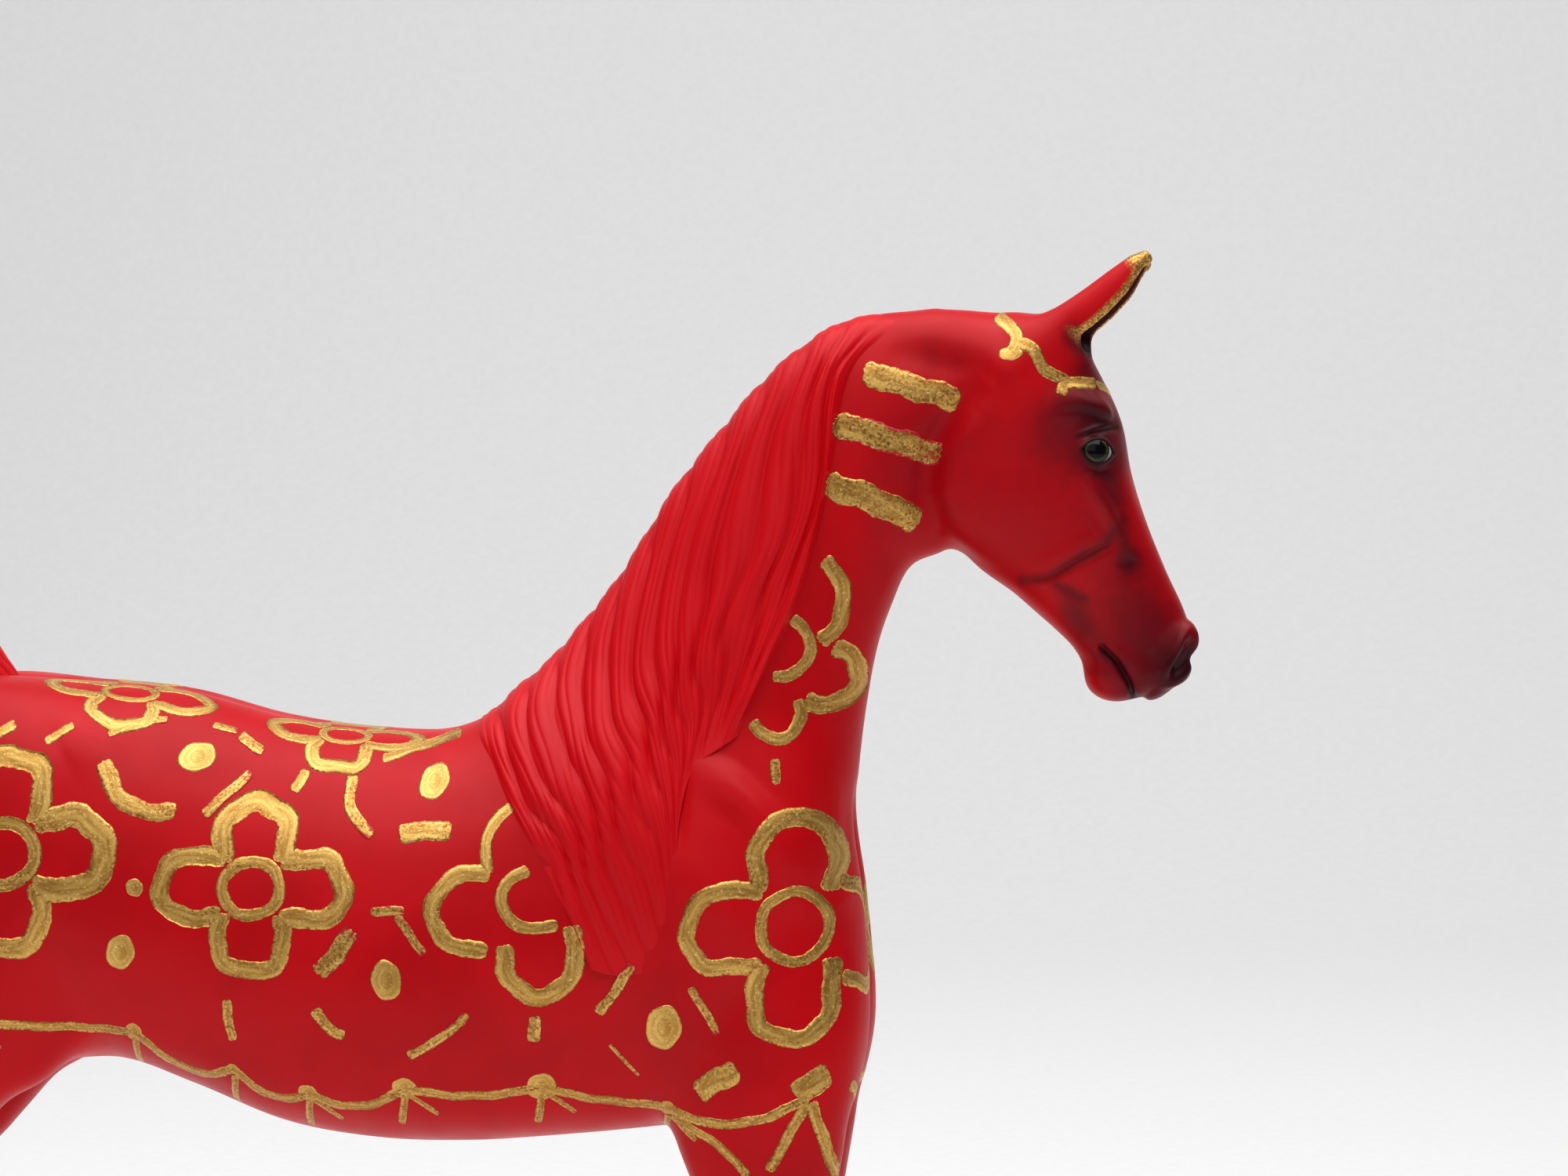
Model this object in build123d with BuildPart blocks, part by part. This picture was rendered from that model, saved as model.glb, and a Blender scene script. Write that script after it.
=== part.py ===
"""Show-horse model in the manner of a dala horse: hollow body in two halves, with legs, mane, ears and tail.

Millimetres. +X is the way the horse faces, +Z is up and the horse's right side is -Y.
The origin is on the ground, under the middle of the whole horse.
"""

import os
from math import cos, pi, sin

from build123d import *

os.makedirs("parts", exist_ok=True)

# Driving dimensions
WALL = 2.5  # shell of the hollow body
GLUE_GAP = 0.1  # clearance of every glued fit, each side
WIRE_RADIUS = 1.0
WIRE_BORE = WIRE_RADIUS + 0.05
MANE_THICKNESS = 3.2

FORELEG_JOINT_Z = 97.0  # where a foreleg meets the body, at the elbow
HINDLEG_JOINT_Z = 100.0  # where a hindleg meets the body, below the stifle
LEG_SPIGOT_RADIUS = 4.0
LEG_SPIGOT_LENGTH = 9.0
LEG_BOSS_RADIUS = 6.5

SEAM_BOSS_RADIUS = 3.5
SEAM_BOSS_REACH = 6.0  # from the seam, each way
SEAM_PEG_RADIUS = 1.5
SEAM_PEG_LENGTH = 3.5

TENON_RADIUS = 3.0  # tail
TENON_LENGTH = 9.0
EAR_TENON_RADIUS = 1.4
EAR_TENON_LENGTH = 3.5
EAR_BOSS_WALL = 1.5
MANE_PEG_RADIUS = 1.2
MANE_PEG_LENGTH = 2.2
MANE_REACH = 45.0  # from the middle, well past the widest place of the mane
EMBED = 4.0  # how far a tenon or its socket runs on past the surface between the two pieces

# Trunk, from buttock to breast: x, top z, bottom z, half width
TRUNK = [
    (-97.0, 148.0, 130.0, 7.0),
    (-91.0, 164.0, 114.0, 19.0),
    (-79.0, 173.0, 107.5, 26.5),
    (-62.0, 176.4, 108.5, 29.5),
    (-42.0, 175.4, 106.5, 30.5),
    (-20.0, 171.6, 99.8, 31.0),
    (0.0, 168.6, 96.9, 31.0),
    (18.0, 169.5, 96.3, 29.2),
    (36.0, 172.0, 97.0, 26.2),
    (54.0, 168.0, 98.5, 24.4),
    (70.0, 158.0, 101.0, 23.0),
    (78.5, 146.0, 106.0, 16.0),
    (81.5, 134.0, 114.0, 7.0),
]

# Neck, from inside the trunk to the poll: crest x, z, throat x, z, half width
NECK = [
    (10.0, 156.0, 64.0, 108.0, 19.0),
    (20.0, 170.0, 76.0, 128.0, 21.5),
    (32.0, 182.5, 79.5, 151.0, 18.5),
    (41.5, 196.0, 80.7, 169.5, 15.0),
    (51.0, 210.5, 83.0, 183.0, 12.8),
    (62.5, 224.5, 88.0, 194.5, 11.6),
    (76.0, 234.0, 94.0, 202.0, 11.0),
    (89.0, 238.3, 97.5, 207.0, 10.6),
    (104.0, 238.6, 109.0, 212.0, 9.5),
]

# Head, from the poll to the lips: forehead x, z, jaw x, z, half width
HEAD = [
    (92.0, 237.0, 88.5, 213.0, 8.0),
    (103.0, 239.2, 90.0, 206.0, 10.4),
    (111.5, 238.2, 92.0, 201.5, 11.4),
    (118.8, 232.5, 96.0, 197.4, 12.2),
    (123.6, 223.0, 103.2, 192.9, 11.8),
    (126.2, 213.0, 110.0, 187.2, 9.8),
    (129.0, 203.5, 115.4, 182.0, 7.8),
    (133.1, 193.6, 118.6, 176.5, 6.2),
    (137.4, 186.0, 122.4, 172.9, 6.1),
    (138.7, 180.8, 129.5, 172.2, 5.2),
    (138.4, 178.6, 133.2, 173.8, 3.0),
]

# Upper legs that belong to the body, from inside the trunk down: z, x, y, half length, half width
SHOULDER = [
    (142.0, 62.0, 13.0, 15.0, 8.0),
    (120.0, 61.5, 14.0, 18.5, 10.5),
    (105.0, 62.0, 14.5, 16.8, 10.0),
    (FORELEG_JOINT_Z, 62.8, 14.5, 14.6, 9.0),
]
THIGH = [
    (150.0, -72.0, 14.0, 18.0, 10.0),
    (130.0, -76.5, 16.5, 20.5, 12.0),
    (112.0, -79.5, 16.0, 17.5, 11.4),
    (HINDLEG_JOINT_Z, -84.0, 15.5, 14.2, 9.4),
]

# Legs, from the joint to the ground: z, x, y, half length, half width; the last two bound the hoof
FORELEG = [
    (FORELEG_JOINT_Z, 62.8, 14.5, 14.6, 9.0),
    (88.0, 64.0, 14.5, 12.7, 8.1),
    (79.0, 65.0, 14.4, 10.3, 7.1),
    (70.0, 66.0, 14.3, 8.2, 6.2),
    (62.0, 66.8, 14.2, 7.0, 6.0),
    (55.0, 66.9, 14.2, 6.6, 6.1),
    (47.0, 66.4, 14.2, 5.0, 4.7),
    (39.0, 66.2, 14.2, 4.4, 3.8),
    (31.0, 66.2, 14.2, 4.3, 3.7),
    (23.0, 66.8, 14.2, 5.2, 4.6),
    (16.0, 69.4, 14.2, 4.6, 4.2),
    (10.5, 71.8, 14.2, 6.2, 5.7),
    (0.0, 74.0, 14.2, 8.4, 7.4),
]
HINDLEG = [
    (HINDLEG_JOINT_Z, -84.0, 15.5, 14.2, 9.4),
    (92.0, -88.8, 15.5, 11.9, 8.1),
    (84.0, -94.4, 15.4, 9.8, 6.9),
    (76.0, -100.4, 15.2, 8.2, 6.0),
    (68.0, -106.3, 15.1, 7.5, 5.5),
    (60.0, -110.8, 15.0, 7.6, 5.6),
    (52.0, -112.2, 15.0, 6.2, 5.1),
    (44.0, -112.6, 15.0, 4.9, 4.1),
    (36.0, -113.1, 15.0, 4.5, 3.8),
    (29.0, -113.8, 15.0, 4.6, 3.9),
    (22.0, -113.8, 15.0, 5.4, 4.7),
    (16.0, -111.4, 15.0, 4.6, 4.2),
    (10.5, -109.0, 15.0, 6.2, 5.7),
    (0.0, -106.8, 15.0, 8.4, 7.4),
]

# Reinforcing wires, from the end of the spigot down: x, y, z
FORELEG_WIRE = [(62.8, 14.5, FORELEG_JOINT_Z + LEG_SPIGOT_LENGTH), (66.6, 14.25, 57.0), (66.4, 14.2, 22.0)]
HINDLEG_WIRE = [
    (-84.0, 15.5, HINDLEG_JOINT_Z + LEG_SPIGOT_LENGTH),
    (-84.0, 15.4, 99.0),
    (-110.6, 15.1, 59.0),
    (-113.8, 15.0, 22.0),
]
LEG_WIRE_BEND = 20.0

# Tail, from the dock to the tip: x, z of the middle, slope of the run in degrees, half depth, half width
TAIL = [
    (-73.6, 173.0, 127.0, 4.6, 4.8),
    (-79.2, 180.4, 128.0, 4.9, 5.4),
    (-87.0, 187.0, 152.0, 5.5, 6.2),
    (-97.5, 188.4, 193.0, 6.6, 7.6),
    (-107.5, 181.0, 227.0, 7.6, 9.0),
    (-116.0, 167.0, 247.0, 8.6, 10.4),
    (-122.0, 147.0, 256.0, 9.0, 11.6),
    (-126.3, 122.0, 262.0, 8.8, 11.8),
    (-129.2, 95.0, 266.0, 7.8, 10.2),
    (-132.6, 68.0, 264.0, 5.6, 7.2),
    (-136.2, 44.0, 260.0, 2.2, 2.4),
]
TAIL_WIRE = [(-82.6, 0.0, 185.0), (-100.0, 0.0, 188.4), (-115.0, 0.0, 165.0)]
TAIL_WIRE_BEND = 6.0

# Ears: distance along the ear, half depth, half width
EAR_BASE = (115.6, 5.8, 236.0)
EAR_DIRECTION = (0.715, 0.16, 0.68)
EAR = [(-3.0, 4.6, 3.4), (3.0, 5.2, 4.1), (9.0, 4.6, 3.9), (14.5, 3.1, 2.5), (19.5, 0.9, 0.7)]
EAR_SCOOP = [(3.5, 2.0, 1.8), (8.0, 3.4, 2.9), (12.0, 2.9, 2.4), (16.5, 0.9, 0.7)]
EAR_SCOOP_SHIFT = 2.2  # towards the front, so that the scoop opens there

# Mane seen from the side: x, z round its edge, crest first, from the poll to the withers and back
MANE_CREST = [(90.0, 246.0), (40.0, 246.0), (8.0, 186.0), (12.5, 171.0)]
MANE_REAR_EDGE = [(12.5, 171.0), (16.5, 158.0), (24.5, 143.0), (35.0, 127.0)]
MANE_REAR_TIP = [(35.0, 127.0), (43.5, 130.0), (48.0, 156.0)]
MANE_FRONT_EDGE = [(48.0, 156.0), (60.0, 165.5), (69.5, 188.0), (74.5, 209.0), (78.5, 226.0), (90.0, 239.5)]
MANE_OVERHANG = 2.5  # past the crest, onto the left side
MANE_PEGS = [(52.0, 192.0), (60.0, 212.0), (35.0, 152.0)]

# Seam bosses: x, z, beside the wall all round the body
SEAM_BOSSES = [
    (-90.0, 146.0),
    (-30.0, 168.5),
    (-24.0, 104.5),
    (18.0, 100.5),
    (76.5, 121.0),
    (75.5, 158.0),
    (46.0, 198.0),
    (80.0, 231.5),
    (121.5, 223.0),
    (112.0, 190.0),
]


def oval(plane, half_width, half_height, fullness=0.0):
    """Closed smooth outline on a plane, fuller below its middle as fullness grows."""
    points = []
    for step in range(8):
        angle = step * pi / 4
        across = half_width * sin(angle) * (1 - fullness * cos(angle))
        points.append((across, half_height * cos(angle)))
    with BuildSketch(plane) as outline:
        with BuildLine():
            Spline(*points, periodic=True)
        make_face()
    return outline.sketch


def trunk_sections(stations, inset):
    """Upright sections across the trunk, shrunk by inset."""
    sections = []
    for x, top, bottom, half_width in stations:
        plane = Plane((x, 0, (top + bottom) / 2), x_dir=(0, 1, 0), z_dir=(1, 0, 0))
        sections.append(oval(plane, half_width - inset, (top - bottom) / 2 - inset, 0.12))
    return sections


def spine_sections(stations, inset):
    """Sections whose upper and lower points are given, for the neck and the head, shrunk by inset."""
    sections = []
    for upper_x, upper_z, lower_x, lower_z, half_width in stations:
        upper = Vector(upper_x, 0, upper_z)
        lower = Vector(lower_x, 0, lower_z)
        rise = upper - lower
        along = Vector(0, 1, 0).cross(rise)
        plane = Plane((upper + lower) / 2, x_dir=(0, 1, 0), z_dir=along.normalized())
        sections.append(oval(plane, half_width - inset, rise.length / 2 - inset, 0.0))
    return sections


def level_sections(stations, side):
    """Horizontal sections of a leg on one side, -1 for the right and 1 for the left."""
    sections = []
    for z, x, y, half_length, half_width in stations:
        plane = Plane((x, side * y, z), x_dir=(1, 0, 0), z_dir=(0, 0, 1))
        sections.append(oval(plane, half_length, half_width))
    return sections


def tail_sections():
    sections = []
    for x, z, slope, half_depth, half_width in TAIL:
        along = Vector(cos(slope * pi / 180), 0, sin(slope * pi / 180))
        plane = Plane((x, 0, z), x_dir=(0, 1, 0), z_dir=along)
        sections.append(oval(plane, half_width, half_depth))
    return sections


def ear_plane(side, distance):
    """Plane across the ear, at a distance along it from its base."""
    along = Vector(EAR_DIRECTION[0], side * EAR_DIRECTION[1], EAR_DIRECTION[2]).normalized()
    base = Vector(EAR_BASE[0], side * EAR_BASE[1], EAR_BASE[2])
    return Plane(base + along * distance, x_dir=(0, 1, 0), z_dir=along)


def dock_plane(distance):
    """Plane across the root of the tail, at a distance along the dock from its first section."""
    x, z, slope, _, _ = TAIL[0]
    along = Vector(cos(slope * pi / 180), 0, sin(slope * pi / 180))
    return Plane(Vector(x, 0, z) + along * distance, x_dir=(0, 1, 0), z_dir=along)


def wire(corners, bend, radius):
    """Round wire along straight runs joined by arcs; a larger radius gives its bore."""
    with BuildPart() as rod:
        with BuildLine() as route:
            FilletPolyline(*corners, radius=bend)
        with BuildSketch(Plane(origin=route.line @ 0, z_dir=route.line % 0)):
            Circle(radius)
        sweep()
    return rod.part


def leg(stations, corners, side):
    """Leg with its spigot on top and the bore of its wire."""
    joint_z, x, y, _, _ = stations[0]
    with BuildPart() as limb:
        loft(sections=level_sections(stations[:-1], side))
        loft(sections=level_sections(stations[-2:], side), ruled=True)
        with BuildSketch(Plane((x, side * y, joint_z), x_dir=(1, 0, 0), z_dir=(0, 0, 1))):
            Circle(LEG_SPIGOT_RADIUS)
        extrude(amount=LEG_SPIGOT_LENGTH)
        add(wire(corners, LEG_WIRE_BEND, WIRE_BORE), mode=Mode.SUBTRACT)
    return limb.part


def ear_sections(stations, side, shift):
    """Sections across an ear, moved by shift towards its front and its outer side."""
    sections = []
    for distance, half_depth, half_width in stations:
        plane = ear_plane(side, distance)
        plane.origin += plane.y_dir * -shift + plane.x_dir * side * shift / 2
        sections.append(oval(plane, half_width, half_depth))
    return sections


# Outer form of the whole body, before it is hollowed and cut along the seam
with BuildPart() as body_outside:
    loft(sections=trunk_sections(TRUNK, 0))
    loft(sections=spine_sections(NECK, 0))
    loft(sections=spine_sections(HEAD, 0))
    for side in (-1, 1):
        loft(sections=level_sections(SHOULDER, side))
        loft(sections=level_sections(THIGH, side))

# Room inside, which stops short of the buttock, the breast and the lips
with BuildPart() as cavity:
    loft(sections=trunk_sections(TRUNK[1:-1], WALL))
    loft(sections=spine_sections(NECK, WALL))
    loft(sections=spine_sections(HEAD[:-1], WALL))

# Solid places inside the body, where pegs, spigots and tenons are held, trimmed to the outer form
with BuildPart() as bosses:
    for x, z in SEAM_BOSSES:
        with BuildSketch(Plane((x, -SEAM_BOSS_REACH, z), x_dir=(1, 0, 0), z_dir=(0, 1, 0))):
            Circle(SEAM_BOSS_RADIUS)
        extrude(amount=2 * SEAM_BOSS_REACH)
    for side in (-1, 1):
        for joint_z, x, y, _, _ in (FORELEG[0], HINDLEG[0]):
            with BuildSketch(Plane((x, side * y, joint_z), x_dir=(1, 0, 0), z_dir=(0, 0, 1))):
                Circle(LEG_BOSS_RADIUS)
            extrude(amount=LEG_SPIGOT_LENGTH + WALL)
        with BuildSketch(ear_plane(side, -EAR_TENON_LENGTH - EAR_BOSS_WALL)):
            Circle(EAR_TENON_RADIUS + EAR_BOSS_WALL)
        extrude(amount=EAR_TENON_LENGTH + EAR_BOSS_WALL + EMBED)
    with BuildSketch(dock_plane(-TENON_LENGTH - WALL)):
        Circle(TENON_RADIUS + WALL)
    extrude(amount=TENON_LENGTH + WALL + EMBED)
    add(body_outside.part, mode=Mode.INTERSECT)

with BuildPart() as body:
    add(body_outside.part)
    add(cavity.part, mode=Mode.SUBTRACT)
    add(bosses.part)
    for side in (-1, 1):
        for joint_z, x, y, _, _ in (FORELEG[0], HINDLEG[0]):
            with BuildSketch(Plane((x, side * y, joint_z), x_dir=(1, 0, 0), z_dir=(0, 0, 1))):
                Circle(LEG_SPIGOT_RADIUS + GLUE_GAP)
            extrude(amount=LEG_SPIGOT_LENGTH + GLUE_GAP, mode=Mode.SUBTRACT)
        with BuildSketch(ear_plane(side, -EAR_TENON_LENGTH - GLUE_GAP)):
            Circle(EAR_TENON_RADIUS + GLUE_GAP)
        extrude(amount=EAR_TENON_LENGTH + GLUE_GAP + EMBED, mode=Mode.SUBTRACT)
    with BuildSketch(dock_plane(-TENON_LENGTH - GLUE_GAP)):
        Circle(TENON_RADIUS + GLUE_GAP)
    extrude(amount=TENON_LENGTH + GLUE_GAP + 2 * EMBED, mode=Mode.SUBTRACT)


# Right half: carries the seam pegs
with BuildPart() as right_body_shell:
    add(body.part)
    split(bisect_by=Plane.XZ, keep=Keep.TOP)
    for x, z in SEAM_BOSSES:
        with BuildSketch(Plane((x, -SEAM_PEG_LENGTH, z), x_dir=(1, 0, 0), z_dir=(0, 1, 0))):
            Circle(SEAM_PEG_RADIUS)
        extrude(amount=2 * SEAM_PEG_LENGTH)
    for x, z in MANE_PEGS:
        with BuildSketch(Plane((x, 0, z), x_dir=(1, 0, 0), z_dir=(0, -1, 0))):
            Circle(MANE_PEG_RADIUS + GLUE_GAP)
        extrude(amount=MANE_REACH, mode=Mode.SUBTRACT)

# Left half: takes the seam pegs
with BuildPart() as left_body_shell:
    add(body.part)
    split(bisect_by=Plane.XZ, keep=Keep.BOTTOM)
    for x, z in SEAM_BOSSES:
        with BuildSketch(Plane((x, 0, z), x_dir=(1, 0, 0), z_dir=(0, 1, 0))):
            Circle(SEAM_PEG_RADIUS + GLUE_GAP)
        extrude(amount=SEAM_PEG_LENGTH + GLUE_GAP, mode=Mode.SUBTRACT)

right_body_shell.part.label = "right_body_shell"
left_body_shell.part.label = "left_body_shell"
export_step(right_body_shell.part, "parts/right_body_shell.step")
export_step(left_body_shell.part, "parts/left_body_shell.step")

# Mane: a layer that follows the neck, cut to the mane's outline, with pegs into the right shell
with BuildPart() as mane_layer:
    loft(sections=trunk_sections(TRUNK, -MANE_THICKNESS))
    loft(sections=spine_sections(NECK, -MANE_THICKNESS))

with BuildPart() as mane_bed:
    loft(sections=trunk_sections(TRUNK, -GLUE_GAP))
    loft(sections=spine_sections(NECK, -GLUE_GAP))
    add(body_outside.part)

with BuildPart() as mane_peg_ends:
    loft(sections=spine_sections(NECK, MANE_PEG_LENGTH))

with BuildPart() as mane_pegs:
    for x, z in MANE_PEGS:
        with BuildSketch(Plane((x, 0, z), x_dir=(1, 0, 0), z_dir=(0, -1, 0))):
            Circle(MANE_PEG_RADIUS)
        extrude(amount=MANE_REACH)
    add(mane_layer.part, mode=Mode.INTERSECT)
    add(mane_peg_ends.part, mode=Mode.SUBTRACT)

with BuildPart() as mane:
    with BuildSketch(Plane((0, MANE_OVERHANG, 0), x_dir=(1, 0, 0), z_dir=(0, -1, 0))):
        with BuildLine():
            Polyline(*MANE_CREST)
            Spline(*MANE_REAR_EDGE)
            Spline(*MANE_REAR_TIP)
            Spline(*MANE_FRONT_EDGE)
            Line(MANE_FRONT_EDGE[-1], MANE_CREST[0])
        make_face()
    extrude(amount=MANE_REACH)
    add(mane_layer.part, mode=Mode.INTERSECT)
    add(mane_bed.part, mode=Mode.SUBTRACT)
    add(mane_pegs.part)
mane.part.label = "mane"
export_step(mane.part, "parts/mane.step")

# Ears, scooped out towards the front, each with a tenon into its half of the head
for side, name in ((-1, "right_ear"), (1, "left_ear")):
    with BuildPart() as ear_scoop:
        loft(sections=ear_sections(EAR_SCOOP, side, EAR_SCOOP_SHIFT))
    with BuildPart() as ear:
        loft(sections=ear_sections(EAR, side, 0))
        add(ear_scoop.part, mode=Mode.SUBTRACT)
        add(body_outside.part, mode=Mode.SUBTRACT)
        with BuildSketch(ear_plane(side, -EAR_TENON_LENGTH)):
            Circle(EAR_TENON_RADIUS)
        extrude(amount=EAR_TENON_LENGTH + EMBED)
    ear.part.label = name
    export_step(ear.part, f"parts/{name}.step")

# Legs and the wires that stiffen them
for side, hand in ((-1, "right"), (1, "left")):
    for stations, route, kind in ((FORELEG, FORELEG_WIRE, "foreleg"), (HINDLEG, HINDLEG_WIRE, "hindleg")):
        corners = [(x, side * y, z) for x, y, z in route]
        limb = leg(stations, corners, side)
        limb.label = f"{hand}_{kind}"
        export_step(limb, f"parts/{hand}_{kind}.step")
        rod = wire(corners, LEG_WIRE_BEND, WIRE_RADIUS)
        rod.label = f"{hand}_{kind}_wire"
        export_step(rod, f"parts/{hand}_{kind}_wire.step")

# Tail, raised at the dock and falling behind the hindquarters, with its tenon and wire
tail_corners = [tuple(dock_plane(-TENON_LENGTH).origin), *TAIL_WIRE]
with BuildPart() as tail:
    loft(sections=tail_sections())
    add(body_outside.part, mode=Mode.SUBTRACT)
    with BuildSketch(dock_plane(-TENON_LENGTH)):
        Circle(TENON_RADIUS)
    extrude(amount=TENON_LENGTH + EMBED)
    add(wire(tail_corners, TAIL_WIRE_BEND, WIRE_BORE), mode=Mode.SUBTRACT)
tail.part.label = "tail"
export_step(tail.part, "parts/tail.step")

tail_wire = wire(tail_corners, TAIL_WIRE_BEND, WIRE_RADIUS)
tail_wire.label = "tail_wire"
export_step(tail_wire, "parts/tail_wire.step")
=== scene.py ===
"""Looks of the painted show horse: sculpted skin, strands, gold brushwork, painted eyes and a small studio.

The sculpting is done in millimetres in the part's own frame and turned into metres when a mesh is made.
"""

from math import cos, pi, radians, sin

import bmesh
import bpy
import numpy as np
import openvdb
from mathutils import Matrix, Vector
from mathutils.bvhtree import BVHTree


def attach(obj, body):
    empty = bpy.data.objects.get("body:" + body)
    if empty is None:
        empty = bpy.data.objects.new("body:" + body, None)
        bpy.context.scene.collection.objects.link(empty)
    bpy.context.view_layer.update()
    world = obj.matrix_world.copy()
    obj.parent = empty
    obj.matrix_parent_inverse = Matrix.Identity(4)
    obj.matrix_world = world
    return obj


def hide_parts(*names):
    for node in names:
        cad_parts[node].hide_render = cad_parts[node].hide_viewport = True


MM = 0.001
VOXEL = 0.9
HEAD_VOXEL = 0.5
EAR_VOXEL = 0.22
STROKE_STEP = 0.45
SIDES = ((-1, "right"), (1, "left"))

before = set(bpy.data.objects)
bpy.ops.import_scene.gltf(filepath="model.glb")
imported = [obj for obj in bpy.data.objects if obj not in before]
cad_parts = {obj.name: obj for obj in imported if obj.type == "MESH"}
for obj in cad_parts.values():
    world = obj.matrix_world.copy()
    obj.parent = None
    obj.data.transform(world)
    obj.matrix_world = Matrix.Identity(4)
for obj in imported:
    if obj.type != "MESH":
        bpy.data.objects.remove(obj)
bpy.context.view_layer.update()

# ---------------------------------------------------------------- forms, in millimetres

# Trunk: back x, z, belly x, z, half width
TRUNK = [
    (-93, 158, -93, 126, 13),
    (-87, 169, -87, 116, 21),
    (-78, 174.3, -78, 109.5, 26),
    (-66, 175.2, -66, 107.5, 28.6),
    (-52, 175, -50, 108.4, 29.5),
    (-38, 173.4, -36, 103.8, 29.4),
    (-22, 169.2, -20, 97.6, 30.2),
    (-6, 167, -4, 95, 30.8),
    (10, 166.8, 12, 94.7, 30.2),
    (26, 170.2, 28, 95.8, 27.6),
    (42, 173, 44, 97.4, 24.6),
    (57, 168, 59, 99.5, 22.6),
    (69, 157, 69.6, 103, 18.5),
    (75.4, 145, 75.8, 109, 11),
]

# Neck: crest x, z, throat x, z, half width
NECK = [
    (6, 155, 62, 106, 17),
    (18, 169, 74, 126, 20),
    (27, 177.5, 78.2, 141, 18.6),
    (35, 187, 79.3, 158, 16.2),
    (43, 198.5, 80.8, 171, 13.8),
    (51, 211, 83, 182.5, 12.2),
    (60, 222, 86.5, 192.2, 11),
    (70, 232, 89, 199.6, 10.4),
    (81, 238.7, 94, 205.5, 9.8),
    (92.5, 239.2, 103, 209, 9.2),
    (104, 238.4, 109, 213, 8.6),
]

# Head: forehead x, z, jaw x, z, half width
HEAD = [
    (95, 238.6, 94, 214, 7.4),
    (103, 238.3, 95.5, 205.5, 8.8),
    (110.8, 237.6, 96.2, 200.2, 9.9),
    (117.2, 234.8, 100.2, 195.4, 10.9),
    (121.8, 227.4, 106, 191.2, 11.4),
    (125, 220, 110.2, 187.6, 11),
    (126.6, 211.6, 113.6, 184.6, 9.6),
    (129.2, 203.2, 116.6, 181.6, 8),
    (132.5, 195, 118.8, 178, 6.9),
    (135.7, 188, 120.4, 174.6, 6.4),
    (137.2, 182.6, 124.6, 172.6, 6.2),
    (136.2, 179.6, 128.8, 173, 5),
]

# Limbs, from inside the trunk to the ground: z, x, distance from the middle, half length, half width
FORELEG = [
    (136, 62, 11, 13, 7),
    (120, 62.5, 13, 16.5, 9.2),
    (108, 63, 13.8, 16.4, 9.6),
    (97, 63.6, 14.2, 14.4, 8.8),
    (88, 64.6, 14.4, 11.9, 7.8),
    (79, 65.4, 14.4, 9.5, 6.8),
    (70, 66, 14.3, 7.4, 5.9),
    (62.5, 66.7, 14.2, 6.5, 5.9),
    (56, 67.2, 14.2, 6.5, 6.2),
    (50.5, 66.6, 14.2, 5.3, 5.2),
    (45, 66.1, 14.2, 4.3, 3.9),
    (37, 66, 14.2, 4, 3.4),
    (29, 66.1, 14.2, 4.2, 3.6),
    (23.5, 66.6, 14.2, 5, 4.4),
    (20, 67.4, 14.2, 5, 4.4),
    (15.5, 69.4, 14.2, 4.3, 4),
    (11.5, 71.2, 14.2, 5.3, 4.9),
    (9.8, 71.8, 14.2, 6.1, 5.7),
    (5, 72.9, 14.2, 7.1, 6.5),
    (-1, 74.2, 14.2, 8.3, 7.4),
]
HINDLEG = [
    (156, -70, 9, 8, 4),
    (142, -75, 13, 16, 10),
    (126, -77.5, 15.8, 19.4, 12.2),
    (112, -80, 15.8, 16.8, 10.6),
    (102, -83, 15.6, 14.2, 9.2),
    (92, -88.6, 15.5, 11.4, 7.8),
    (84, -94.2, 15.4, 9.2, 6.6),
    (76, -100.2, 15.2, 7.2, 5.4),
    (69, -105.6, 15.1, 6.6, 4.8),
    (62, -110.2, 15, 7, 5.3),
    (55, -111.8, 15, 6.3, 5.4),
    (48, -112.2, 15, 4.9, 4.4),
    (40, -112.6, 15, 4.2, 3.6),
    (30, -113.4, 15, 4.2, 3.6),
    (24, -113.9, 15, 5, 4.4),
    (20, -113.3, 15, 5, 4.4),
    (15.5, -111.2, 15, 4.3, 4),
    (11.5, -109.5, 15, 5.3, 4.9),
    (9.8, -108.9, 15, 6.1, 5.7),
    (5, -107.9, 15, 7.1, 6.5),
    (-1, -106.6, 15, 8.3, 7.4),
]

# Rounded forms that are blended in, on both sides: centre, radii, tilt in degrees, reach of the blend
MUSCLES = [
    ((-70, 11, 154), (24, 15, 20), -20, 8),  # croup
    ((-84, 11.5, 134), (13, 12.5, 22), -12, 7),  # buttock
    ((-67, 17, 117), (9, 8, 12), 20, 7),  # stifle
    ((56.6, 12, 138), (17, 10.5, 27), -22, 7),  # shoulder
    ((71.8, 8.5, 122), (9, 8.6, 19), 8, 5),  # breast
]
THROAT = ((91.4, 0, 204.6), (7.6, 6, 7), 30, 7)
HEAD_FORMS = [
    ((107, 4.8, 211), (14.4, 6.8, 15.2), 0, 1.6),  # cheek
    ((118.4, 8.4, 223), (4.6, 2.6, 2.2), -18, 2.6),  # brow
    ((119.8, 8.2, 215.4), (3.2, 2.8, 3), 0, 2),  # eye socket
    ((133.8, 3.6, 180.8), (3.6, 3, 5.4), -28, 2),  # wing of the nostril
    ((123.4, 0, 176.8), (4.6, 4.8, 4.4), 0, 2),  # chin
]

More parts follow.
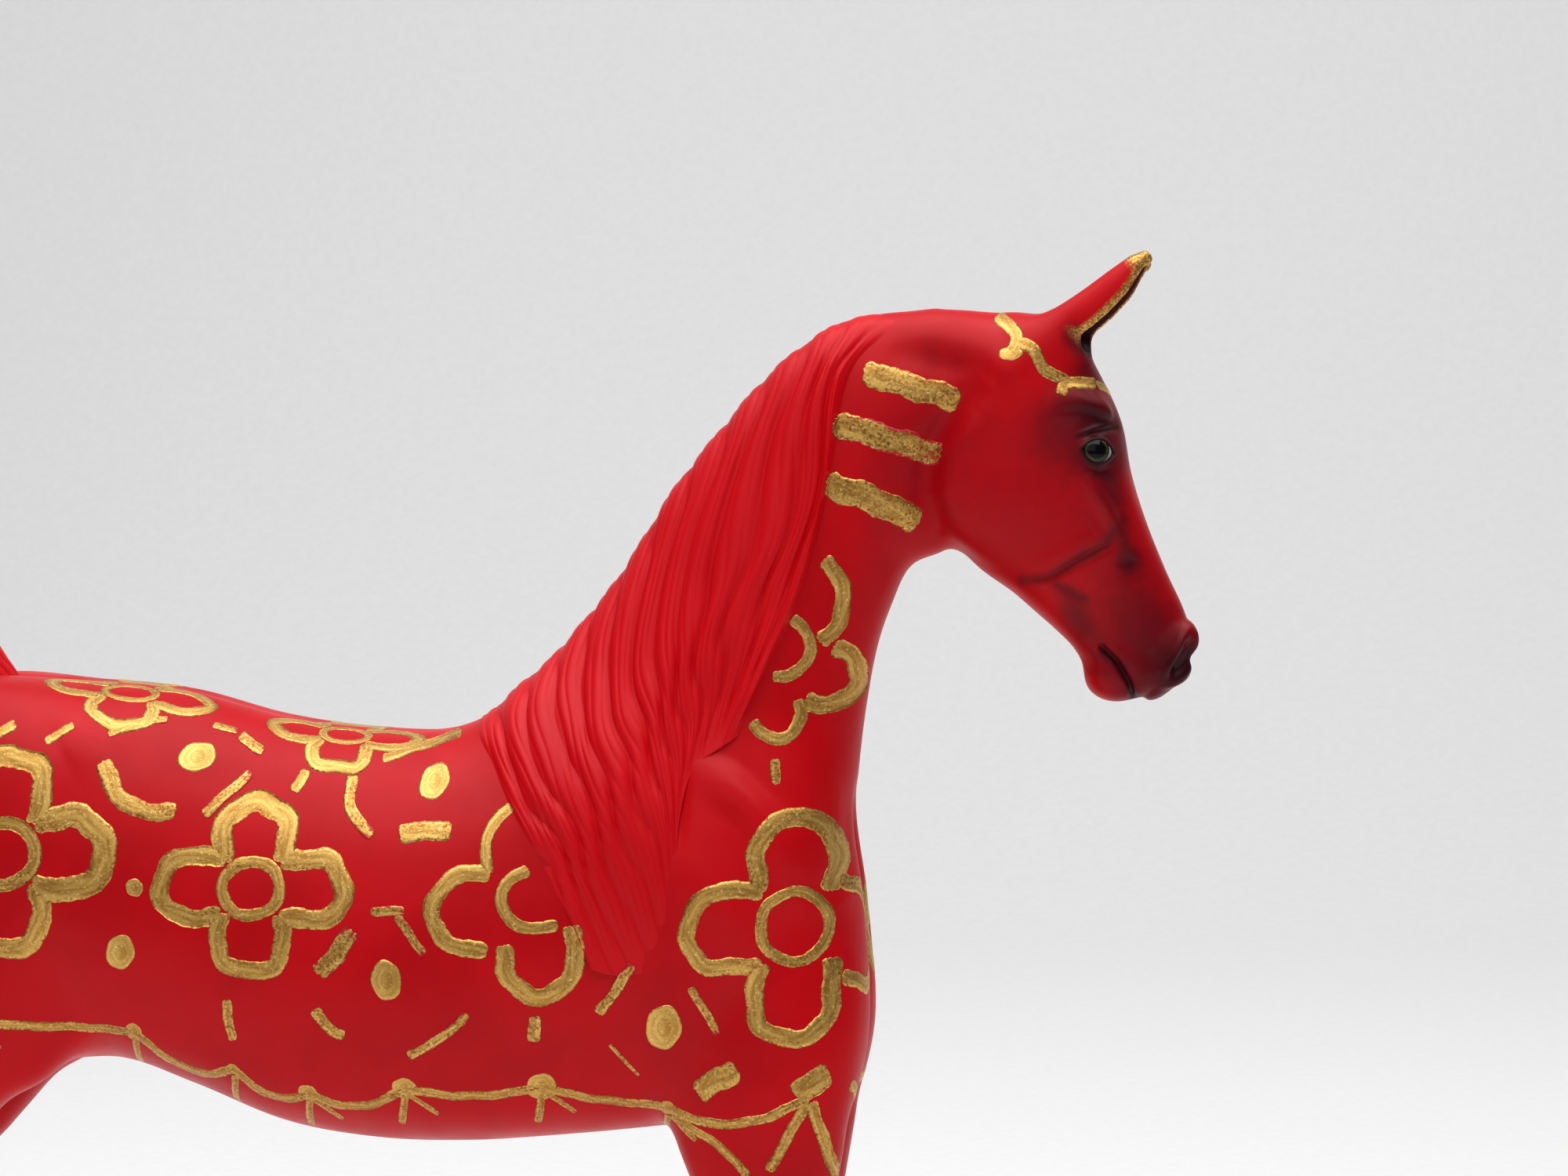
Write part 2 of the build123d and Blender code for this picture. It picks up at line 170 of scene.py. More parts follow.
# Ears: x, z of the middle, distance from the middle plane, half depth towards the opening, half width
EAR = [
    (108.6, 231.2, 4.8, 4.8, 3.8),
    (115.5, 235.9, 5.9, 4.5, 3.9),
    (120.3, 239.3, 6.7, 4.2, 3.7),
    (124.9, 243.6, 7.5, 3.4, 3.1),
    (127.6, 247, 8.1, 2.1, 2.1),
    (129, 248.4, 8.4, 1.2, 1.2),
]
EAR_ALONG = Vector((0.77, 0.13, 0.62)).normalized()
EAR_OPENS = Vector((0.61, 0.12, -0.74)).normalized()  # outwards and ahead, for the left ear


def through(values, at):
    """Smooth curve through evenly spaced values."""
    values = np.asarray(values, float)
    slopes = np.gradient(values, axis=0)
    left = np.clip(np.floor(at).astype(int), 0, len(values) - 2)
    t = at - left
    if values.ndim == 2:
        t = t[..., None]
    a, b, ma, mb = values[left], values[left + 1], slopes[left], slopes[left + 1]
    return (
        (2 * t**3 - 3 * t**2 + 1) * a
        + (t**3 - 2 * t**2 + t) * ma
        + (3 * t**2 - 2 * t**3) * b
        + (t**3 - t**2) * mb
    )


def blend(a, b, reach):
    """Union of two fields with a rounded valley between them."""
    mix = np.clip(0.5 + 0.5 * (b - a) / reach, 0, 1)
    return b * (1 - mix) + a * mix - reach * mix * (1 - mix)


class Grid:
    """Box of evenly spaced points, with the axes kept apart so that fields broadcast over them."""

    def __init__(self, low, high, step):
        self.low = np.array(low, float)
        self.step = step
        counts = np.ceil((np.array(high, float) - self.low) / step).astype(int) + 1
        axes = [self.low[k] + step * np.arange(counts[k]) for k in range(3)]
        self.x = axes[0].reshape(-1, 1, 1)
        self.y = axes[1].reshape(1, -1, 1)
        self.z = axes[2].reshape(1, 1, -1)


def rounded(across, up, along, half_width, half_height, cap, power):
    """Field of a section with rounded corners, near to a distance, from its normalised places."""
    sizes = (half_width, half_height, cap)
    parts = [np.abs(v) for v in (across, up, along)]
    radius = (parts[0] ** power + parts[1] ** power + parts[2] ** power) ** (1 / power) + 1e-6
    slope = 0
    for part, size in zip(parts, sizes):
        slope = slope + ((part / radius) ** (power - 1) / size) ** 2
    return (radius - 1) / np.sqrt(slope + 1e-9)


def spine_field(stations, grid, caps, fullness, power=2.0, per_span=12):
    """Field of a form lofted through sections that stand across a spine in the middle plane."""
    at = np.linspace(0, len(stations) - 1, per_span * (len(stations) - 1) + 1)
    upper_x, upper_z, lower_x, lower_z, width = (through(column, at) for column in zip(*stations))
    middle_x, middle_z = (upper_x + lower_x) / 2, (upper_z + lower_z) / 2
    height = np.hypot(upper_x - lower_x, upper_z - lower_z) / 2
    up_x, up_z = (upper_x - middle_x) / height, (upper_z - middle_z) / height
    x, z = grid.x[:, 0, :], grid.z[0, :, :]
    ahead = [(x - cx) * uz - (z - cz) * ux for cx, cz, ux, uz in zip(middle_x, middle_z, up_x, up_z)]
    aside = [
        ((x - cx) * ux + (z - cz) * uz) / h
        for cx, cz, ux, uz, h in zip(middle_x, middle_z, up_x, up_z, height)
    ]
    shape = np.broadcast(x, z).shape
    best = np.full(shape, 1e3)
    up, along = np.zeros(shape), np.zeros(shape)
    half_width, half_height = np.full(shape, width[0]), np.full(shape, height[0])
    for end, sign, cap in ((0, -1, caps[0]), (-1, 1, caps[1])):
        beyond = sign * ahead[end] / cap
        reach = np.hypot(aside[end], beyond)
        better = (beyond > 0) & (reach < best)
        best[better], up[better], along[better] = reach[better], aside[end][better], beyond[better]
        half_width[better], half_height[better] = width[end], height[end]
    for i in range(len(at) - 1):
        part = ahead[i] / (ahead[i] - ahead[i + 1] + 1e-9)
        place = aside[i] * (1 - part) + aside[i + 1] * part
        better = (ahead[i] >= 0) & (ahead[i + 1] < 0) & (np.abs(place) < best)
        best[better], up[better], along[better] = np.abs(place)[better], place[better], 0
        half_width[better] = (width[i] * (1 - part) + width[i + 1] * part)[better]
        half_height[better] = (height[i] * (1 - part) + height[i + 1] * part)[better]
    half_width = half_width * (1 - fullness * np.clip(up, -1, 1))
    up, along = up[:, None, :], along[:, None, :]
    half_width, half_height = half_width[:, None, :], half_height[:, None, :]
    return rounded(grid.y / half_width, up, along, half_width, half_height, caps[1], power)


def limb_field(stations, grid, power=2.0):
    """Field of a pair of limbs lofted through level sections, one on each side."""
    heights, *columns = zip(*stations)
    heights = np.array(heights)
    order = np.interp(grid.z, heights[::-1], np.arange(len(heights))[::-1])
    x, y, half_length, half_width = (through(column, order) for column in columns)
    across, ahead = (np.abs(grid.y) - y) / half_width, (grid.x - x) / half_length
    field = rounded(across, ahead, 0 * x, half_width, half_length, 1, power)
    return np.maximum(field, np.maximum(-grid.z, grid.z - heights[0]))


def blob(grid, centre, radii, tilt):
    """Field of a pair of ellipsoids, tilted in the side view, one on each side of the middle plane."""
    c, s = cos(radians(tilt)), sin(radians(tilt))
    dx, dz = grid.x - centre[0], grid.z - centre[2]
    along, up = (dx * c + dz * s) / radii[0], (dz * c - dx * s) / radii[2]
    return rounded((np.abs(grid.y) - centre[1]) / radii[1], up, along, radii[1], radii[2], radii[0], 2.0)


def horse_field(grid):
    """Field of the whole skin, below zero inside."""
    trunk = spine_field(TRUNK, grid, (7.0, 6.0), 0.10, 2.15)
    for centre, radii, tilt, reach in MUSCLES:
        trunk = blend(trunk, blob(grid, centre, radii, tilt), reach)
    trunk = blend(trunk, limb_field(FORELEG, grid, 2.2), 6.0)
    trunk = blend(trunk, limb_field(HINDLEG, grid, 2.2), 7.0)
    neck = spine_field(NECK, grid, (10.0, 10.0), 0.06, 2.1)
    centre, radii, tilt, reach = THROAT
    skin = blend(blend(trunk, neck, 9.0), blob(grid, centre, radii, tilt), reach)
    return np.maximum(blend(skin, head_field(grid), 4.0), -grid.z)


def head_field(grid):
    """Field of the head alone, with cheeks, brows, nostril wings, chin and ears."""
    head = spine_field(HEAD, grid, (4.0, 2.2), -0.10, 2.5)
    for centre, radii, tilt, reach in HEAD_FORMS:
        head = blend(head, blob(grid, centre, radii, tilt), reach)
    outside, scoop = ear_fields(grid)
    return -blend(-blend(head, outside, 5.0), scoop, 0.5)


def ear_fields(grid):
    """Fields of the pair of ears without their hollows, and of the hollows."""
    base = np.array(EAR[1][:3])[[0, 2, 1]]
    along = np.array([EAR_ALONG.x, EAR_ALONG.y, EAR_ALONG.z])
    opens = np.array(EAR_OPENS - EAR_OPENS.dot(EAR_ALONG) * EAR_ALONG)
    opens /= np.linalg.norm(opens)
    aside = np.cross(along, opens)
    x, y, z = grid.x - base[0], np.abs(grid.y) - base[1], grid.z - base[2]
    travel = x * along[0] + y * along[1] + z * along[2]
    marks = [(Vector((s[0], s[2], s[1])) - Vector(base)).dot(EAR_ALONG) for s in EAR]
    order = np.interp(travel, marks, np.arange(len(EAR)))
    middle_x, middle_z, middle_y, depth, width = (through(column, order) for column in zip(*EAR))
    x, y, z = grid.x - middle_x, np.abs(grid.y) - middle_y, grid.z - middle_z
    towards = x * opens[0] + y * opens[1] + z * opens[2]
    across = x * aside[0] + y * aside[1] + z * aside[2]
    beyond = np.maximum(travel - marks[-1], 0) / 0.8 + np.maximum(marks[0] - travel, 0) / 3
    outside = rounded(across / width, towards / depth, beyond, width, depth, 0.8, 2.0)
    wall = 0.75
    inner_width, inner_depth = np.maximum(width - wall, 0.1), depth * 1.15
    ends = np.maximum(travel - marks[4] - 0.4, 0) / 0.8 + np.maximum(marks[1] + 2.6 - travel, 0) / 2.4
    deeper = (towards - 0.8 * depth) / inner_depth
    scoop = rounded(across / inner_width, deeper, ends, inner_width, inner_depth, 0.8, 2.0)
    return outside, scoop


class Sampler:
    """Values and slopes of a field between the points of its grid."""

    def __init__(self, field, grid):
        self.field, self.grid = field, grid

    def value(self, points):
        at = (points - self.grid.low) / self.grid.step
        top = np.array(self.field.shape) - 2
        base = np.clip(np.floor(at).astype(int), 0, top)
        part = np.clip(at - base, 0, 1)
        total = 0
        for corner in np.ndindex(2, 2, 2):
            weight = np.prod(np.where(corner, part, 1 - part), axis=1)
            total = total + weight * self.field[tuple((base + corner).T)]
        return total

    def slope(self, points):
        reach = self.grid.step * 0.8
        columns = []
        for axis in range(3):
            offset = np.zeros(3)
            offset[axis] = reach
            columns.append((self.value(points + offset) - self.value(points - offset)) / (2 * reach))
        return np.stack(columns, axis=1)

    def normal(self, points):
        slope = self.slope(points)
        return slope / (np.linalg.norm(slope, axis=1, keepdims=True) + 1e-9)

    def settle(self, points, height=0.0, rounds=4):
        """Points moved along the slope onto the level of a height above the surface."""
        points = np.array(points, float)
        for _ in range(rounds):
            slope = self.slope(points)
            size = np.sum(slope**2, axis=1) + 1e-6
            step = (height - self.value(points)) / size
            points = points + slope * np.clip(step, -2.0, 2.0)[:, None]
        return points


def surface(field, grid):
    """Quads where a field is zero."""
    band = 4 * grid.step
    volume = openvdb.FloatGrid(band)
    volume.copyFromArray(np.ascontiguousarray(np.clip(field, -band, band), dtype=np.float32))
    points, quads = volume.convertToQuads(isovalue=0.0)
    return points * grid.step + grid.low, quads


def mesh_object(name, points, faces, material=None):
    """Mesh object from points in millimetres."""
    mesh = bpy.data.meshes.new(name)
    mesh.from_pydata((np.asarray(points) * MM).tolist(), [], [list(map(int, f)) for f in faces])
    mesh.validate()
    mesh.shade_smooth()
    made = bpy.data.objects.new(name, mesh)
    bpy.context.collection.objects.link(made)
    if material:
        mesh.materials.append(material)
    return made


def closed_sheet(rows, columns, flipped):
    """Faces of a top and an underside over the same grid of places, joined along a rim."""
    count = rows * columns
    index = np.arange(count).reshape(rows, columns)
    a, b, c, d = index[:-1, :-1], index[:-1, 1:], index[1:, 1:], index[1:, :-1]
    order = (a, d, c, b) if flipped else (a, b, c, d)
    quads = np.stack(order, axis=-1).reshape(-1, 4)
    border = np.concatenate([index[0, :-1], index[:-1, -1], index[-1, :0:-1], index[:0:-1, 0]])
    following = np.roll(border, -1)
    rim = np.stack([border, following, following + count, border + count], axis=-1)
    return np.concatenate([quads, quads[:, ::-1] + count, rim])


def ramp(value, low, high):
    """Smooth step from 0 at low to 1 at high."""
    t = np.clip((value - low) / (high - low), 0, 1)
    return t * t * (3 - 2 * t)


def near_line(x, z, line):
    """Distance from points to an open line in the side view, and the place along it from 0 to 1."""
    line = np.array(line, float)
    lengths = np.hypot(*np.diff(line, axis=0).T)
    starts = np.concatenate([[0], np.cumsum(lengths)[:-1]])
    best, place = np.full(x.shape, 1e9), np.zeros(x.shape)
    for (ax, az), (bx, bz), start, length in zip(line[:-1], line[1:], starts, lengths):
        part = np.clip(((x - ax) * (bx - ax) + (z - az) * (bz - az)) / length**2, 0, 1)
        away = np.hypot(x - ax - part * (bx - ax), z - az - part * (bz - az))
        closer = away < best
        best = np.where(closer, away, best)
        place = np.where(closer, (start + part * length) / lengths.sum(), place)
    return best, place


# Soft modelling seen from the side, the same on both sides: width, height, fade of its ends, line
FOLDS = [
    (5, -0.9, 1, [(52, 168), (62, 164), (73, 152)]),
    (5.5, -0.9, 1, [(34, 142), (37, 124), (42, 106)]),
    (3.6, -0.8, 1, [(71, 146), (66, 128), (54, 114)]),
    (4, 0.6, 1, [(47, 150), (60, 137), (70, 118)]),
    (1.6, -0.9, 1, [(49.5, 166), (50.5, 160.5), (50.5, 154), (50, 146)]),
    (3, 0.9, 1, [(52, 162.5), (57, 160.5), (63, 155), (69, 147), (73, 138)]),
    (1.5, -0.55, 1, [(73.5, 160), (75.5, 153), (77.5, 146)]),
    (1.6, -0.35, 1, [(55, 165.5), (61.5, 162), (68.5, 155)]),
    (1.4, -0.3, 1, [(54.5, 156.5), (59.5, 152.5), (63.5, 145.5)]),
    (4, -0.9, 1, [(-60, 140), (-56, 124), (-51, 114)]),
    (2.8, -0.8, 1, [(-83, 160), (-88, 140), (-91, 120), (-96, 100)]),
    (2.2, -0.5, 1, [(-91, 101), (-99, 88), (-105.5, 76)]),
    (6, 0.9, 1, [(-50, 168), (-56, 164)]),
    (2, -0.45, 1, [(60.5, 104), (64.5, 88), (66.5, 72)]),
    (0.9, -0.45, 1, [(65, 50), (64.6, 40), (64.8, 28)]),
    (0.9, -0.45, 1, [(-113.6, 50), (-114.2, 40), (-115, 28)]),
    (1.5, -0.9, 1, [(-109.6, 73), (-113.4, 66), (-114.6, 60)]),
    (1.6, 0.4, 1, [(64, 60), (64.4, 53)]),
    (1.5, 0.5, 1, [(-110.4, 60), (-111, 54)]),
    # head: crest of the face, tear fold, jaw groove, hollows of the lower jaw, brow, lid folds, lips
    (2.2, -1.7, 1, [(93, 201), (91.2, 208), (92.2, 216), (97, 223.5), (102, 228)]),
    (2.2, 0.65, 1, [(97.4, 201), (95.8, 208.5), (96.8, 216), (101.4, 222)]),
    (3, -0.9, 1, [(84, 232.5), (90, 231.8), (97, 229.5), (103, 228)]),
    (2.6, 0.45, 1, [(99, 226), (106, 230), (110, 233.5)]),
    (1.3, 0.85, 1, [(118.6, 211.8), (121.6, 206.8), (124, 202.4), (125.2, 199.6)]),
    (1.1, -0.40, 1, [(121.8, 211.4), (124.4, 206.6), (126.2, 201.6)]),
    (0.9, -0.62, 1, [(124.4, 203), (122.6, 199.4), (117.4, 196.6), (112.6, 193.9), (107.6, 193.2)]),
    (1.5, 0.30, 1, [(120.4, 201.4), (115, 197.8), (110, 195.6)]),
    (1.6, -0.50, 1, [(127.2, 197.4), (125.8, 194.8)]),
    (1.6, -0.45, 1, [(119.4, 188.6), (117.2, 184.4)]),
    (0.8, -0.25, 1, [(113.6, 192.8), (118.4, 190)]),
    (1.3, -0.75, 1, [(114.6, 221.6), (118, 222), (121.6, 221), (125.4, 218.8)]),
    (0.40, 0.34, 1, [(117.4, 218.2), (120.4, 219.4), (124.4, 220.2)]),
    (0.38, -0.34, 1, [(117.7, 217.6), (120.8, 218.7), (124.4, 219.4)]),
    (0.38, -0.22, 1, [(119.2, 212.4), (121.4, 211.8), (123.2, 212.6)]),
    (0.36, -0.20, 1, [(120.4, 211.2), (122.2, 210.8)]),
    (0.55, -0.95, 0, [(121.4, 181.8), (124, 179.4), (126, 176), (127.3, 172)]),
    (1.2, 0.35, 1, [(123.4, 182), (127.4, 178.6), (128.6, 174.4)]),
    (1.2, -0.35, 1, [(118.8, 181), (119.6, 176.8)]),
    (1.4, -0.40, 1, [(129.6, 181.6), (131.4, 177.8)]),
]
EYE = (120.8, 215.4)
EYE_TILT = radians(-8)
EYE_HALF = (2.5, 1.65, 1.8)  # half length, upper and lower half height of the opening
NOSTRIL = (135.9, 179.6)


def side_weight(normals):
    """How much a place faces sideways, so that side modelling fades before the middle."""
    return ramp(np.abs(normals[:, 1]), 0.08, 0.45)


def lens(x, z, centre, tilt, half):
    """Almond shape with pointed ends: below 1 inside."""
    dx, dz = x - centre[0], z - centre[1]
    u = (dx * cos(tilt) + dz * sin(tilt)) / half[0]
    v = dz * cos(tilt) - dx * sin(tilt)
    v = np.where(v > 0, v / half[1], -v / half[2])
    return np.maximum(v, 0) + np.abs(u) ** 2.2


def relief(points, normals):
    """Height of the fine modelling over the smooth skin."""
    x, y, z = points.T
    height = np.zeros(len(points))
    for width, rise, fades, line in FOLDS:
        line_points = np.array(line)
        low, high = line_points.min(axis=0) - 3 * width, line_points.max(axis=0) + 3 * width
        inside = (x > low[0]) & (x < high[0]) & (z > low[1]) & (z < high[1])
        away, place = near_line(x[inside], z[inside], line)
        fade = np.sin(pi * np.clip(place, 0.03, 0.97)) ** 0.6 if fades else 1
        height[inside] += rise * np.exp(-((away / width) ** 2)) * fade
    height *= side_weight(normals)
    # groove along the back and between the buttocks
    height -= 0.5 * np.exp(-((y / 2.4) ** 2)) * ramp(normals[:, 2], 0.5, 0.9) * ramp(-x, -10, 30)
    height -= 2.2 * np.exp(-((y / 3.2) ** 2)) * ramp(-normals[:, 0], 0.2, 0.8) * ramp(-x, 80, 90)
    between = np.exp(-((y / 3.2) ** 2)) * ramp(normals[:, 0], 0.2, 0.8)
    height -= 2.4 * between * ramp(x, 60, 68) * ramp(z, 100, 112) * ramp(-z, -160, -146)
    # eyes: lids round an opening that is pushed in for the eyeball
    opening = lens(x, z, EYE, EYE_TILT, EYE_HALF)
    near_eye = (opening < 4) & (np.abs(y) > 5)
    lids = 0.42 * np.exp(-(((opening - 1.22) / 0.26) ** 2)) - 1.5 * ramp(-opening, -1.04, -0.86)
    height += np.where(near_eye, lids, 0)
    # nostrils: a comma-shaped hollow with a raised rim
    dx, dz = x - NOSTRIL[0], z - NOSTRIL[1]
    tilt = radians(63)
    along, across = dx * cos(tilt) + dz * sin(tilt), dz * cos(tilt) - dx * sin(tilt)
    across = across - 0.05 * along**2
    hole = np.hypot(along / 3.9, across / 1.5)
    near_nose = (hole < 4) & (np.abs(y) > 0.8)
    flare = 0.45 * np.exp(-(((hole - 1.35) / 0.3) ** 2)) - 1.3 * ramp(-hole, -1.1, -0.55)
    height += np.where(near_nose, flare, 0) * ramp(np.abs(y), 0.8, 2.2)
    return height


def refine(points, faces, chosen):
    """Faces whose middle is chosen are split in four, and their neighbours fitted to them."""
    mesh = bmesh.new()
    verts = [mesh.verts.new(p) for p in points]
    for face in faces:
        mesh.faces.new([verts[i] for i in face])
    picked = [f for f in mesh.faces if chosen(f.calc_center_median())]
    edges = {e for f in picked for e in f.edges}
    bmesh.ops.subdivide_edges(mesh, edges=list(edges), cuts=1, use_grid_fill=True)
    mesh.verts.index_update()
    points = np.array([v.co[:] for v in mesh.verts])
    faces = [[v.index for v in f.verts] for f in mesh.faces]
    mesh.free()
    return points, faces


def in_head(p):
    return p.z > 168 and (p.x > 118 or p.x > 92 and p.z > 192)


def in_fine_features(p):
    near_eye = abs(p.x - EYE[0]) < 5.5 and abs(p.z - EYE[1]) < 6.5 and abs(p.y) > 5
    near_nose = abs(p.x - NOSTRIL[0]) < 5 and abs(p.z - NOSTRIL[1]) < 6.5
    near_mouth = 119 < p.x < 130 and 171 < p.z < 184
    near_jaw = 106 < p.x < 126 and 191 < p.z < 205 and abs(p.y) > 4
    return near_eye or near_nose or near_mouth or near_jaw


def vertex_normals(points, faces):
    mesh = bpy.data.meshes.new("normals")
    mesh.from_pydata(points.tolist(), [], faces)
    normals = np.empty(len(points) * 3, np.float32)
    mesh.vertex_normals.foreach_get("vector", normals)
    bpy.data.meshes.remove(mesh)
    return normals.reshape(-1, 3).astype(float)


# ---------------------------------------------------------------- materials


class Shader:
    """Node tree of a new material, with short calls for the nodes used here."""

    def __init__(self, name):
        self.material = bpy.data.materials.new(name)
        self.material.use_nodes = True
        self.tree = self.material.node_tree
        self.surface = self.tree.nodes["Principled BSDF"]
        self.place = self.tree.nodes.new("ShaderNodeTexCoord").outputs["Object"]

    def set(self, socket, value):
        if isinstance(value, bpy.types.NodeSocket):
            self.tree.links.new(value, socket)
        else:
            socket.default_value = value

    def finish(self, **values):
        for name, value in values.items():
            self.set(self.surface.inputs[name.replace("_", " ")], value)
        return self.material

    def attribute(self, name):
        node = self.tree.nodes.new("ShaderNodeAttribute")
        node.attribute_name = name
        return node.outputs["Fac"]

    def noise(self, scale, detail=3.0, place=None, rough=0.55):
        node = self.tree.nodes.new("ShaderNodeTexNoise")
        self.set(node.inputs["Vector"], place or self.place)
        node.inputs["Scale"].default_value = scale
        node.inputs["Detail"].default_value = detail
        node.inputs["Roughness"].default_value = rough
        return node.outputs["Fac"]

    def math(self, operation, a, b=0.0):
        node = self.tree.nodes.new("ShaderNodeMath")
        node.operation = operation
        self.set(node.inputs[0], a)
        self.set(node.inputs[1], b)
        return node.outputs[0]

    def range(self, value, low, high, start=0.0, end=1.0):
        node = self.tree.nodes.new("ShaderNodeMapRange")
        node.interpolation_type = "SMOOTHSTEP"
        for socket, item in zip(node.inputs, (value, low, high, start, end)):
            self.set(socket, item)
        return node.outputs[0]

    def mix(self, part, a, b):
        node = self.tree.nodes.new("ShaderNodeMix")
        node.data_type = "RGBA"
        self.set(node.inputs[0], part)
        self.set(node.inputs[6], a)
        self.set(node.inputs[7], b)
        return node.outputs[2]

    def join(self, x, y, z=0.0):
        node = self.tree.nodes.new("ShaderNodeCombineXYZ")
        for socket, item in zip(node.inputs, (x, y, z)):
            self.set(socket, item)
        return node.outputs[0]

    def height(self):
        node = self.tree.nodes.new("ShaderNodeSeparateXYZ")
        self.set(node.inputs[0], self.place)
        return node.outputs[2]

    def bump(self, height, strength, distance):
        node = self.tree.nodes.new("ShaderNodeBump")
        self.set(node.inputs["Height"], height)
        node.inputs["Strength"].default_value = strength
        node.inputs["Distance"].default_value = distance
        return node.outputs["Normal"]


def red_paint(name, bright=(0.60, 0.0035, 0.010, 1), deep=(0.50, 0.0015, 0.007, 1)):
    """Satin red over a primed cast, darkened by the shade attribute, which holds airbrushing and painted
    shade, gold by the gilt attribute.
    """
    shader = Shader(name)
    clouds = shader.range(shader.noise(38, 3), 0.35, 0.68)
    red = shader.mix(clouds, bright, deep)
    speckle = shader.range(shader.noise(900, 2), 0.60, 0.78, 0.0, 0.10)
    red = shader.mix(speckle, red, (0.70, 0.03, 0.03, 1))
    shade = shader.attribute("shade")
    grain = shader.range(shader.noise(420, 4), 0.2, 0.8, -0.04, 0.04)
    shade_with_grain = shader.math("ADD", shade, shader.math("MULTIPLY", grain, shader.range(shade, 0.02, 0.3)))
    # the shade attribute mixes in darker reds: airbrushed darkening and painted shade
    colour = shader.mix(shader.range(shade_with_grain, 0.0, 0.55), red, (0.20, 0.0035, 0.010, 1))
    colour = shader.mix(shader.range(shade_with_grain, 0.45, 1.0), colour, (0.028, 0.005, 0.009, 1))
    gilt = shader.attribute("gilt")
    flake = shader.noise(2600, 2)
    gold = shader.mix(shader.range(flake, 0.35, 0.7), (0.33, 0.15, 0.028, 1), (0.85, 0.58, 0.20, 1))
    colour = shader.mix(gilt, colour, gold)
    roughness = shader.range(shader.noise(160, 3), 0.3, 0.7, 0.36, 0.43)
    peel = shader.bump(shader.noise(1500, 2), 0.05, 0.0002)
    metal = shader.math("MULTIPLY", gilt, 0.8)
    shader.surface.inputs["Specular IOR Level"].default_value = 0.22
    return shader.finish(Base_Color=colour, Roughness=roughness, Normal=peel, Metallic=metal)


def hair_paint(name):
    """Red of the mane and tail, darker in the grooves with painted shade."""
    shader = Shader(name)
    groove = shader.attribute("groove")
    clouds = shader.range(shader.noise(45, 3), 0.3, 0.7)
    red = shader.mix(clouds, (0.68, 0.006, 0.014, 1), (0.61, 0.003, 0.010, 1))
    # painted shade: the red is deepened where the groove attribute says a groove lies
    colour = shader.mix(shader.range(groove, 0.35, 1.0), red, (0.58, 0.002, 0.008, 1))
    lines = shader.join(shader.attribute("across"), shader.math("MULTIPLY", shader.attribute("along"), 0.06))
    hairs = shader.noise(3.2, 3, lines)
    roughness = shader.range(hairs, 0.3, 0.7, 0.38, 0.46)
    shader.surface.inputs["Specular IOR Level"].default_value = 0.26
    return shader.finish(Base_Color=colour, Roughness=roughness, Normal=shader.bump(hairs, 0.09, 0.0003))


def gold_paint(name):
    """Brushed metallic gold: bristle streaks along the stroke, painted glints for the sparkle of flakes, and
    thin, dry edges.
    """
    shader = Shader(name)
    across, along = shader.attribute("across"), shader.attribute("along")
    streaks = shader.noise(1.5, 4, shader.join(across, shader.math("MULTIPLY", along, 0.09)), 0.6)
    grain = shader.noise(1500, 3)
    flakes = shader.noise(2300, 2)
    body = shader.math("ADD", shader.math("MULTIPLY", streaks, 0.55), shader.math("MULTIPLY", grain, 0.45))
    cover = shader.math("SUBTRACT", body, shader.math("MULTIPLY", shader.attribute("thin"), 0.30))
    gold = shader.mix(shader.range(streaks, 0.34, 0.62), (0.42, 0.21, 0.04, 1), (0.74, 0.47, 0.135, 1))
    # painted glint: bright flecks in the colour stand in for light catching the flakes
    painted_glint = shader.range(flakes, 0.54, 0.76, 0.0, 0.75)
    gold = shader.mix(painted_glint, gold, (0.98, 0.76, 0.36, 1))
    dry = shader.range(shader.attribute("thin"), 0.04, 0.24)
    gaps = shader.math("MULTIPLY", dry, shader.range(shader.noise(2000, 3), 0.49, 0.62, 0.0, 0.8))
    gold = shader.mix(gaps, gold, (0.24, 0.095, 0.018, 1))
    whole = shader.range(cover, 0.24, 0.31)
    colour = shader.mix(whole, (0.50, 0.0035, 0.010, 1), gold)
    roughness = shader.range(flakes, 0.3, 0.7, 0.36, 0.50)
    height = shader.math("ADD", flakes, shader.math("MULTIPLY", streaks, 1.6))
    metal = shader.math("MULTIPLY", whole, 0.68)
    return shader.finish(
        Base_Color=colour, Roughness=roughness, Metallic=metal, Normal=shader.bump(height, 0.16, 0.00030)
    )


def eye_paint(name):
    """Glossy painted eye: pupil, olive-gold iris, dark rim and a sliver of white."""
    shader = Shader(name)
    ring, turn = shader.attribute("ring"), shader.attribute("turn")
    fibres = shader.noise(6.0, 3, shader.join(turn, shader.math("MULTIPLY", ring, 0.4)))
    iris = shader.mix(shader.range(fibres, 0.35, 0.65), (0.020, 0.017, 0.006, 1), (0.10, 0.085, 0.030, 1))
    colour = shader.mix(shader.range(ring, 1.55, 1.90), (0.002, 0.0022, 0.003, 1), iris)
    colour = shader.mix(shader.range(ring, 2.10, 2.35), colour, (0.004, 0.0035, 0.003, 1))
    vein = shader.range(shader.noise(1500, 2), 0.4, 0.7)
    veins = shader.mix(vein, (0.62, 0.60, 0.62, 1), (0.5, 0.36, 0.36, 1))
    colour = shader.mix(shader.range(ring, 2.50, 2.66), colour, veins)
    shader.surface.inputs["Specular IOR Level"].default_value = 0.3
    return shader.finish(Base_Color=colour, Roughness=0.16)


